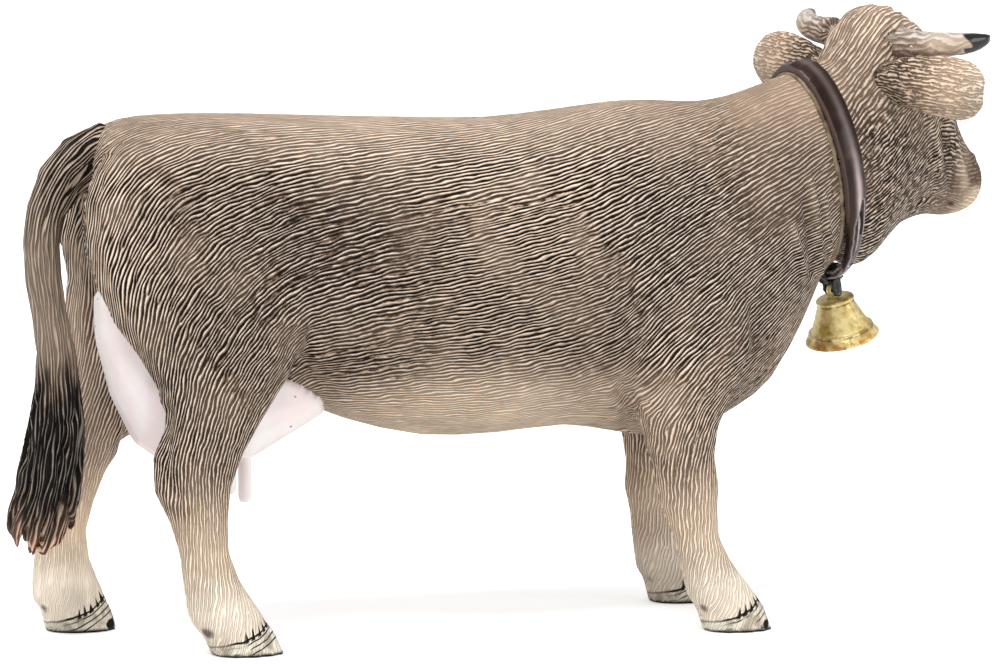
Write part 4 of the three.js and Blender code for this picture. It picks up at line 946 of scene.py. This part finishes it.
def paintHead():
    values = points(headSkin)
    sides = (values, acrossHead(values))
    fields = {"z": values[:, 2], "muzzle": values @ np.array(headPaint["muzzleAxis"])}
    colours = layered(bare(headSkin, "hide"), fields, headPaint["layers"])
    reliefShading = {"umber": np.zeros(len(values)), "cream": np.zeros(len(values))}
    # painted highlight on the cheek's ridges, painted shade in its hollow
    for side in sides:
        for mark, name, strength in headPaint["reliefLightAndShade"]:
            line, width, _ = headMarks[mark]
            share = strength * hump(lineDistance(side, line), headPaint["markNarrower"] * width)
            reliefShading[name] = np.maximum(reliefShading[name], share)
    for name, share in reliefShading.items():
        colours = mixed(colours, name, share)
    eye, dark = np.zeros(len(values)), np.zeros(len(values))
    for side in sides:
        away = np.linalg.norm(side - np.array(carving["eye"]), axis=1)
        eye = np.maximum(eye, fade(away, *headPaint["eyeEdge"]))
        for mark, width in headPaint["lines"]:
            core = headPaint["lineCore"] * width
            dark = np.maximum(dark, fade(lineDistance(side, headMarks[mark][0]), width, core))
    colours = mixed(mixed(colours, "groove", headPaint["lineDark"] * dark), "eye", eye)
    wash = 1 - eye
    for strength, *steps in headPaint["wash"]:
        wash = wash * (1 - strength * stepped(fields, steps))
    setPaint(headSkin, colours, wash=wash, gloss=eye, **noHoof)


def hornFields(piece):
    along = alongLimb(piece)
    sway = hornSway["height"] * np.sin(points(piece) @ np.array(hornSway["across"]))
    # how far each point faces up, for the horn's painted light on top and painted shade beneath
    return {"along": along, "up": normalsOf(piece)[:, 2], "tip": along + sway}


def tailFields(piece):
    values = points(piece)
    x, z = values[:, 0], values[:, 2]
    streak = noiseOver(values * tailStreaks["size"])
    edges = {
        name: z + uneven * streak + lean * (x - middle)
        for name, (uneven, lean, middle) in tailStreaks["edges"].items()}
    return {"z": z, **edges}


def paintLimb(piece, look, fields):
    colours = layered(bare(piece, look["lowest"]), fields, look["layers"])
    names = [name for name in ("wash", "pale", "gloss") if name in look]
    setPaint(piece, colours, **{name: washed(fields, *look[name]) for name in names})


paintBody()
paintHead()
for piece in (hornNear, hornFar):
    paintLimb(piece, limbPaint["horn"], hornFields(piece))
for piece in (earNear, earFar):
    paintLimb(piece, limbPaint["ear"], {"along": alongLimb(piece)})
paintLimb(tailSkin, limbPaint["tail"], tailFields(tailSkin))


# nodes shared by the materials

def newMaterial(name):
    made = bpy.data.materials.new(name)
    made.use_nodes = True
    return made, made.node_tree, made.node_tree.nodes["Principled BSDF"]


def put(tree, kind, inputs=None, **settings):
    made = tree.nodes.new(kind)
    for key, value in settings.items():
        setattr(made, key, value)
    for key, value in (inputs or {}).items():
        if isinstance(value, bpy.types.NodeSocket):
            tree.links.new(value, made.inputs[key])
        else:
            made.inputs[key].default_value = value
    return made


def maths(tree, operation, first, second=0.0, third=0.0):
    return put(tree, "ShaderNodeMath", {0: first, 1: second, 2: third}, operation=operation).outputs[0]


def times(tree, first, *factors):
    for factor in factors:
        first = maths(tree, "MULTIPLY", first, factor)
    return first


def eased(tree, value, low, high, to=(0, 1)):
    made = put(
        tree, "ShaderNodeMapRange",
        {"Value": value, "From Min": low, "From Max": high, "To Min": to[0], "To Max": to[1]},
        interpolation_type="SMOOTHSTEP")
    return made.outputs[0]


def blended(tree, share, first, second, kind="MIX"):
    inputs = {0: share, 6: first, 7: second}
    return put(tree, "ShaderNodeMix", inputs, data_type="RGBA", blend_type=kind).outputs[2]


def colour(values):
    return (*[float(value) for value in values], 1)


def named(tree, name, output="Fac"):
    return put(tree, "ShaderNodeAttribute", attribute_name=name).outputs[output]


def objectSpot(tree):
    return put(tree, "ShaderNodeTexCoord").outputs["Object"]


def noiseAt(tree, vector, scale, detail=2.0, rough=0.5, flat=False):
    made = put(
        tree, "ShaderNodeTexNoise", {"Vector": vector, "Scale": scale, "Detail": detail, "Roughness": rough},
        noise_dimensions="2D" if flat else "3D")
    return made.outputs[0]


def patchy(tree, spot, noiseForm, low, high, to=(0, 1)):  # scale, detail and roughness of the noise
    return eased(tree, noiseAt(tree, spot, *noiseForm), low, high, to)


def bumped(tree, shader, height, depth, strength):
    bump = put(tree, "ShaderNodeBump", {"Height": height, "Distance": depth * mm, "Strength": strength})
    tree.links.new(bump.outputs[0], shader.inputs["Normal"])


def roughBy(tree, shader, matt, glossy):
    tree.links.new(eased(tree, named(tree, "gloss"), 0, 1, (matt, glossy)), shader.inputs["Roughness"])


def dress(piece, material):
    piece.data.materials.clear()
    piece.data.materials.append(material)


# moulded hair: wavy ridges with narrow grooves between them; the grooves darkened as dark wash and painted
# shade, and the ridges' upper side given a painted highlight

strandLook = {
    "defaults": {"Pitch": 0.72, "Length": 3.5, "Sway": 1.2, "Break": 0.8},
    "swayStretch": 0.35, "swayNoise": (1, 1, 0.5, True), "fineStretch": 2.2,
    "fineNoise": (1, 3, 0.6, True),
    "forks": 3,  # the ridges fork where their number changes, in thirds
    # crestShift moves the crest towards each ridge's upper side, where the painted highlight goes
    "forkBlend": (0.3, 0.7), "crestShift": 0.16, "height": (0.05, 0.9), "groove": (0.66, 0.36),
    "crest": (0.66, 0.92),
}


def strandGroup():
    tree = bpy.data.node_groups.new("strands", "ShaderNodeTree")
    for name, value in strandLook["defaults"].items():
        tree.interface.new_socket(name, in_out="INPUT", socket_type="NodeSocketFloat").default_value = value
    for name in ("Height", "Groove", "Crest"):
        tree.interface.new_socket(name, in_out="OUTPUT", socket_type="NodeSocketFloat")
    given = put(tree, "NodeGroupInput").outputs
    result = put(tree, "NodeGroupOutput")
    across = maths(tree, "DIVIDE", named(tree, "hairAcross"), given["Pitch"])
    along = maths(tree, "DIVIDE", named(tree, "hairAlong"), given["Length"])

    def noiseOn(first, second, form):
        spot = put(tree, "ShaderNodeCombineXYZ", {"X": first, "Y": second})
        return maths(tree, "SUBTRACT", noiseAt(tree, spot.outputs[0], *form), 0.5)

    sway = noiseOn(times(tree, across, strandLook["swayStretch"]), along, strandLook["swayNoise"])
    uneven = noiseOn(across, times(tree, along, strandLook["fineStretch"]), strandLook["fineNoise"])
    turn = maths(tree, "MULTIPLY_ADD", sway, given["Sway"], across)
    steps = times(tree, named(tree, "hairTight"), strandLook["forks"])
    whole = maths(tree, "FLOOR", steps)
    share = eased(tree, maths(tree, "FRACT", steps), *strandLook["forkBlend"])

    def levelAt(spot):
        spread = times(tree, spot, 2 * math.pi / strandLook["forks"])
        first = maths(tree, "SINE", times(tree, spread, whole))
        second = maths(tree, "SINE", times(tree, spread, maths(tree, "ADD", whole, 1)))
        wave = maths(tree, "MULTIPLY_ADD", share, maths(tree, "SUBTRACT", second, first), first)
        wave = maths(tree, "MULTIPLY_ADD", wave, 0.5, 0.5)
        return maths(tree, "MULTIPLY_ADD", uneven, given["Break"], wave)

    level = levelAt(turn)
    # the ridge's upper side, which gets the painted highlight
    upper = levelAt(maths(tree, "SUBTRACT", turn, strandLook["crestShift"]))
    for name, value in (("Height", level), ("Groove", level), ("Crest", upper)):
        tree.links.new(eased(tree, value, *strandLook[name.lower()]), result.inputs[name])
    return tree


strands = strandGroup()


def strandsIn(tree, *form):  # pitch and length in mm, sway and unevenness
    made = put(tree, "ShaderNodeGroup", node_tree=strands)
    for name, value in zip(strandLook["defaults"], form):
        made.inputs[name].default_value = value
    return made.outputs["Height"], made.outputs["Groove"], made.outputs["Crest"]


hoofLook = {  # growth rings, the coronet's ragged edge and the dark sole line
    "black": tint(24, 20, 18),
    "horny": (tint(238, 230, 212), tint(196, 184, 164)),
    "hornyPatches": ((600, 3), 0.45, 0.62), "wanderNoise": (350, 2), "wander": 0.8,
    "ringPitch": 0.85, "ringEdge": (0.6, 0.85),
    "ringPatches": ((260, 2), 0.36, 0.46), "topEdge": (0.12, -0.12), "lineEdge": (0.2, 0.1),
    "linePatches": (-0.6, 0.5), "toothPitch": 1.05, "toothWander": 1.2, "toothSharp": 5.0,
    "toothNoise": (500, 1), "toothTall": (1.6, 0.5), "toothEdge": (0.0, 0.12),
    "toothFoot": (-0.5, -0.3), "toothAhead": (0.75, 0.95),
}


def hoofPainted(tree, painted):
    spot, line, front = objectSpot(tree), named(tree, "hoofLine"), named(tree, "hoofFront")
    black, (pale, grey) = colour(hoofLook["black"]), (colour(values) for values in hoofLook["horny"])
    wander = maths(tree, "SUBTRACT", noiseAt(tree, spot, *hoofLook["wanderNoise"]), 0.5)
    level = maths(tree, "MULTIPLY_ADD", wander, hoofLook["wander"], line)
    rings = maths(tree, "SINE", times(tree, level, 2 * math.pi / hoofLook["ringPitch"]))
    patches = times(tree, front, patchy(tree, spot, *hoofLook["ringPatches"]))
    horny = blended(tree, patchy(tree, spot, *hoofLook["hornyPatches"]), pale, grey)
    horny = blended(tree, times(tree, eased(tree, rings, *hoofLook["ringEdge"]), patches), horny, black)
    painted = blended(tree, eased(tree, level, *hoofLook["topEdge"]), painted, horny)
    edge = eased(tree, maths(tree, "ABSOLUTE", level), *hoofLook["lineEdge"])
    edge = times(tree, edge, eased(tree, patches, *hoofLook["linePatches"]))
    painted = blended(tree, edge, painted, black)
    turn = times(tree, wander, hoofLook["toothWander"])
    turn = maths(tree, "MULTIPLY_ADD", named(tree, "hoofRound"), 1 / hoofLook["toothPitch"], turn)
    tooth = maths(tree, "ABSOLUTE", maths(tree, "SUBTRACT", maths(tree, "FRACT", turn), 0.5))
    tall = maths(tree, "MULTIPLY_ADD", noiseAt(tree, spot, *hoofLook["toothNoise"]), *hoofLook["toothTall"])
    reach = maths(tree, "SUBTRACT", tall, maths(tree, "MULTIPLY_ADD", tooth, hoofLook["toothSharp"], line))
    spikes = times(
        tree, eased(tree, reach, *hoofLook["toothEdge"]), eased(tree, line, *hoofLook["toothFoot"]),
        eased(tree, front, *hoofLook["toothAhead"]))
    for dark in (spikes, named(tree, "mark"), named(tree, "sole")):
        painted = blended(tree, dark, painted, black)
    return painted


hairForms = {  # strands, depth of the bump in mm and strength of the painted highlight on the ridges
    "hide": ((0.5, 3.4, 1.2, 0.95), 0.5, 0.7),
    "headHide": ((0.58, 2.4, 1.2, 2.0), 0.5, 0.65),
    "ear": ((0.5, 2.2, 1.3, 3.4), 0.4, 0.3),
    "tail": ((0.5, 8.0, 2.2, 1.2), 0.5, 0.3),
}
hairLook = {
    "washPatches": ((110, 3, 0.6), 0.3, 0.55, (0.72, 1)),
    "mottle": ((160, 4, 0.6), 0.3, 0.7, (0.86, 1.12)), "leastRelief": 0.4,
    "fineNoise": (2600, 2, 0.6), "fineHeight": 0.12, "roughness": (0.62, 0.12), "specular": 0.12,
}


def hairMaterial(name):
    made, tree, shader = newMaterial(name)
    strandForm, depth, ridge = hairForms[name]
    height, gap, crest = strandsIn(tree, *strandForm)
    spot = objectSpot(tree)
    # the strength of the grooves' dark (part dark wash, part painted shade) and of the ridges' painted
    # highlight
    wash = times(tree, named(tree, "wash"), patchy(tree, spot, *hairLook["washPatches"]))
    mottle = patchy(tree, spot, *hairLook["mottle"])
    shade = put(tree, "ShaderNodeCombineColor", {0: mottle, 1: mottle, 2: mottle}).outputs[0]
    painted = blended(tree, 1.0, named(tree, "paint", "Color"), shade, "MULTIPLY")
    # painted highlight: the crest colour on the upper side of each ridge
    painted = blended(tree, times(tree, crest, wash, ridge), painted, colour(palette["crest"]))
    dark = blended(tree, named(tree, "pale"), colour(palette["groove"]), colour(palette["tan"]))
    painted = blended(tree, times(tree, gap, wash), painted, dark)
    painted = hoofPainted(tree, painted) if name == "hide" else painted
    tree.links.new(painted, shader.inputs["Base Color"])
    relief = times(tree, height, eased(tree, named(tree, "wash"), 0, 1, (hairLook["leastRelief"], 1)))
    fine = noiseAt(tree, spot, *hairLook["fineNoise"])
    bumped(tree, shader, maths(tree, "MULTIPLY_ADD", fine, hairLook["fineHeight"], relief), depth, 1.0)
    roughBy(tree, shader, *hairLook["roughness"])
    shader.inputs["Specular IOR Level"].default_value = hairLook["specular"]
    return made


bodyRight, bodyLeft = halved(bodySkin, ("bodyRight", "bodyLeft"))
for name, pieces in {
        "hide": (bodyRight, bodyLeft), "headHide": (headSkin,), "ear": (earNear, earFar),
        "tail": (tailSkin,)}.items():
    material = hairMaterial(name)
    for piece in pieces:
        dress(piece, material)


# horn, udder, strap, hanger, glue and bell

hornLook = {
    "strands": (hornHair["pitch"], 3.0, 2.4, 2.2),
    "groove": tint(118, 88, 64),
    "grooveShare": 0.8,
    # the colour of the painted highlight: glints and the crests of the wrinkles
    "bright": tint(250, 248, 244),
    "brightShare": 0.3,
    "glints": ((1500, 3, 0.7), 0.62, 0.7), "roughness": (0.5, 0.16), "bump": (0.25, 0.8),
}
glossPatches = ((500, 4, 0.6), 0.4, 0.65)
smoothLooks = {  # two tints and their patches, then paint over them by attribute and patches
    "udder": {
        "tints": (tint(255, 250, 248), tint(250, 232, 230)),
        "patches": ((90, 3), 0.35, 0.7),
        "specks": (420.0, (0.1, 0.05), ((130, 2), 0.5, 0.56), tint(74, 56, 54)),
        "bump": ((500, 3), 0.08, 0.6),
        "sockets": {
            "Roughness": 0.42,
            "Subsurface Weight": 0.15,
            "Subsurface Radius": (1, 0.4, 0.3),
            "Subsurface Scale": 0.8 * mm,
        },
    },
    "strap": {
        "tints": (tint(32, 16, 10), tint(48, 28, 21)),
        "patches": ((220, 3), 0.35, 0.7),
        "over": [
            # painted highlight on the strap, mixed in from its attribute
            ("paintedHighlight", ((160, 2), 0.2, 0.7, (0.6, 0.95)), tint(216, 196, 192)),
            ("rim", None, tint(150, 128, 122)),
            # painted shade inside the slot
            ("slot", None, tint(24, 12, 10))],
        "specks": (380.0, (0.09, 0.05), ((150, 2), 0.52, 0.58), tint(226, 216, 210)),
        "bump": ((700, 3), 0.06, 0.6),
        "sockets": {"Roughness": 0.26, "Specular IOR Level": 0.24},
    },
    "hanger": {
        "tints": (tint(20, 18, 17), tint(34, 29, 26)),
        "patches": glossPatches, "bump": ((1100, 3), 0.2, 0.8),
        "sockets": {"Roughness": 0.3},
    },
    "glue": {
        "tints": (tint(136, 120, 94), tint(84, 68, 50)),
        "patches": glossPatches, "bump": ((1100, 3), 0.25, 0.8),
        "sockets": {"Roughness": 0.36},
    },
    "bell": {
        "tints": (tint(252, 232, 168), tint(208, 176, 92)),
        "patches": glossPatches,
        "over": [
            (None, ((330, 4, 0.6), 0.52, 0.7, (0, 0.75)), tint(122, 98, 36)),
            ("brown", ((800, 3, 0.6), 0.4, 0.65), tint(188, 132, 66)),
            ("rings", ((500, 3, 0.6), 0.38, 0.58), tint(84, 62, 22))],
        "bump": ((1100, 3), 0.12, 0.8),
        "sockets": {"Roughness": 0.3, "Metallic": 0.4},
    },
}


def hornMaterial():
    made, tree, shader = newMaterial("horn")
    height, gap, crest = strandsIn(tree, *hornLook["strands"])
    wash = named(tree, "wash")
    grooves = times(tree, gap, wash, hornLook["grooveShare"])
    painted = blended(tree, grooves, named(tree, "paint", "Color"), colour(hornLook["groove"]))
    # painted highlight: glints and crests painted near white
    glints = times(tree, patchy(tree, objectSpot(tree), *hornLook["glints"]), wash)
    bright = maths(tree, "MAXIMUM", glints, times(tree, crest, wash, hornLook["brightShare"]))
    painted = blended(tree, bright, painted, colour(hornLook["bright"]))
    tree.links.new(painted, shader.inputs["Base Color"])
    roughBy(tree, shader, *hornLook["roughness"])
    bumped(tree, shader, times(tree, height, wash), *hornLook["bump"])
    return made


def smoothMaterial(name):
    made, tree, shader = newMaterial(name)
    look, spot = smoothLooks[name], objectSpot(tree)
    first, second = (colour(values) for values in look["tints"])
    painted = blended(tree, patchy(tree, spot, *look["patches"]), first, second)
    for attribute, patches, over in look.get("over", ()):
        factors = [named(tree, attribute)] if attribute else []
        factors += [patchy(tree, spot, *patches)] if patches else []
        painted = blended(tree, times(tree, *factors), painted, colour(over))
    if "specks" in look:
        scale, size, patches, over = look["specks"]
        cells = put(tree, "ShaderNodeTexVoronoi", {"Vector": spot, "Scale": scale, "Randomness": 1.0})
        dots = eased(tree, cells.outputs["Distance"], *size)
        painted = blended(tree, times(tree, dots, patchy(tree, spot, *patches)), painted, colour(over))
    tree.links.new(painted, shader.inputs["Base Color"])
    bumpNoise, depth, strength = look["bump"]
    bumped(tree, shader, noiseAt(tree, spot, *bumpNoise), depth, strength)
    for key, value in look["sockets"].items():
        shader.inputs[key].default_value = value
    return made


horn = hornMaterial()
dress(hornNear, horn)
dress(hornFar, horn)
for piece, name in (
        (udderSkin, "udder"), (strapSkin, "strap"), (hangerSkin, "hanger"), (glueSkin, "glue"),
        (bellSkin, "bell")):
    dress(piece, smoothMaterial(name))


# each piece rides on its body and stands for its solid

def finished(piece, body, replaced):
    for polygon in piece.data.polygons:
        polygon.use_smooth = True
    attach(piece, body)
    if replaced:
        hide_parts(*replaced)
    print("made", piece.name, len(piece.data.polygons))


finished(bodyRight, "figure", ("body_right_shell",))
finished(bodyLeft, "figure", ("body_left_shell",))
finished(headSkin, "figure", ("head",))
finished(hornNear, "figure", ("horn_right",))
finished(hornFar, "figure", ("horn_left",))
finished(earNear, "figure", ("ear_right",))
finished(earFar, "figure", ("ear_left",))
finished(tailSkin, "figure", ("tail",))
finished(udderSkin, "figure", ("udder",))
finished(strapSkin, "figure", ("collar_strap",))
finished(hangerSkin, "hanger", ("bell_hanger",))
finished(glueSkin, "figure", ())
finished(bellSkin, "bell", ("bell",))


# floor, light and camera

studio = {
    "floorSize": 8.0,
    "floorColour": (0.9, 0.9, 0.9, 1),
    "floorGlow": 0.5,  # for the camera alone, so that the floor looks white
    "worldLight": 0.58, "white": (1, 1, 1, 1),
}
suns = {  # where the light comes from, its power and its spread in degrees
    "sun": ((-0.35, -0.5, 1.1), 2.5, 26),
    "fill": ((0.8, -0.6, 0.12), 0.7, 30),  # lights the collar from the side; its line of light is partly this lamp, partly painted highlight
}
cameraView = {
    "turn": 17.0, "height": 5.8, "distance": 0.65,
    "target": (-0.00474, -0.00294, 0.04031), "lens": 171.46, "sensor": 36,
}


def addSun(name, source, power, spread):
    data = bpy.data.lights.new(name, "SUN")
    data.energy = power
    data.angle = math.radians(spread)
    linked(name, data).rotation_euler = (-Vector(source)).to_track_quat("-Z", "Y").to_euler()


def addFloor():
    bm = bmesh.new()
    bmesh.ops.create_grid(bm, x_segments=1, y_segments=1, size=studio["floorSize"] / 2)
    mesh = bpy.data.meshes.new("floor")
    bm.to_mesh(mesh)
    bm.free()
    floor = linked("floor", mesh)
    made, tree, shader = newMaterial("floorPaint")
    for key, value in {
            "Base Color": studio["floorColour"], "Roughness": 1, "Specular IOR Level": 0,
            "Emission Color": studio["white"]}.items():
        shader.inputs[key].default_value = value
    seenDirectly = put(tree, "ShaderNodeLightPath").outputs["Is Camera Ray"]
    tree.links.new(times(tree, seenDirectly, studio["floorGlow"]), shader.inputs["Emission Strength"])
    mesh.materials.append(made)


def addWorld():  # the camera sees plain white, while the figure is lit less strongly
    world = bpy.data.worlds.new("studioWorld")
    bpy.context.scene.world = world
    world.use_nodes = True
    tree = world.node_tree
    background = tree.nodes["Background"]
    background.inputs["Color"].default_value = studio["white"]
    background.inputs["Strength"].default_value = studio["worldLight"]
    seen = put(tree, "ShaderNodeBackground", {"Color": studio["white"], "Strength": 1})
    path = put(tree, "ShaderNodeLightPath")
    mix = put(tree, "ShaderNodeMixShader", {
        0: path.outputs["Is Camera Ray"], 1: background.outputs[0], 2: seen.outputs[0]})
    tree.links.new(mix.outputs[0], tree.nodes["World Output"].inputs["Surface"])


def addCamera():
    turn, rise = math.radians(cameraView["turn"]), math.radians(cameraView["height"])
    right = Vector((math.cos(turn), -math.sin(turn), 0))
    forward = Vector((math.sin(turn) * math.cos(rise), math.cos(turn) * math.cos(rise), -math.sin(rise)))
    data = bpy.data.cameras.new("camera")
    data.sensor_width = cameraView["sensor"]
    data.lens = cameraView["lens"]
    camera = linked("camera", data)
    spot = Vector(cameraView["target"]) - forward * cameraView["distance"]
    facing = Matrix((right, right.cross(forward), -forward)).transposed().to_4x4()
    camera.matrix_world = Matrix.Translation(spot) @ facing
    bpy.context.scene.camera = camera


for name, light in suns.items():
    addSun(name, *light)
addFloor()
addWorld()
addCamera()
bpy.context.scene.view_settings.view_transform = "Standard"
print("studio set")
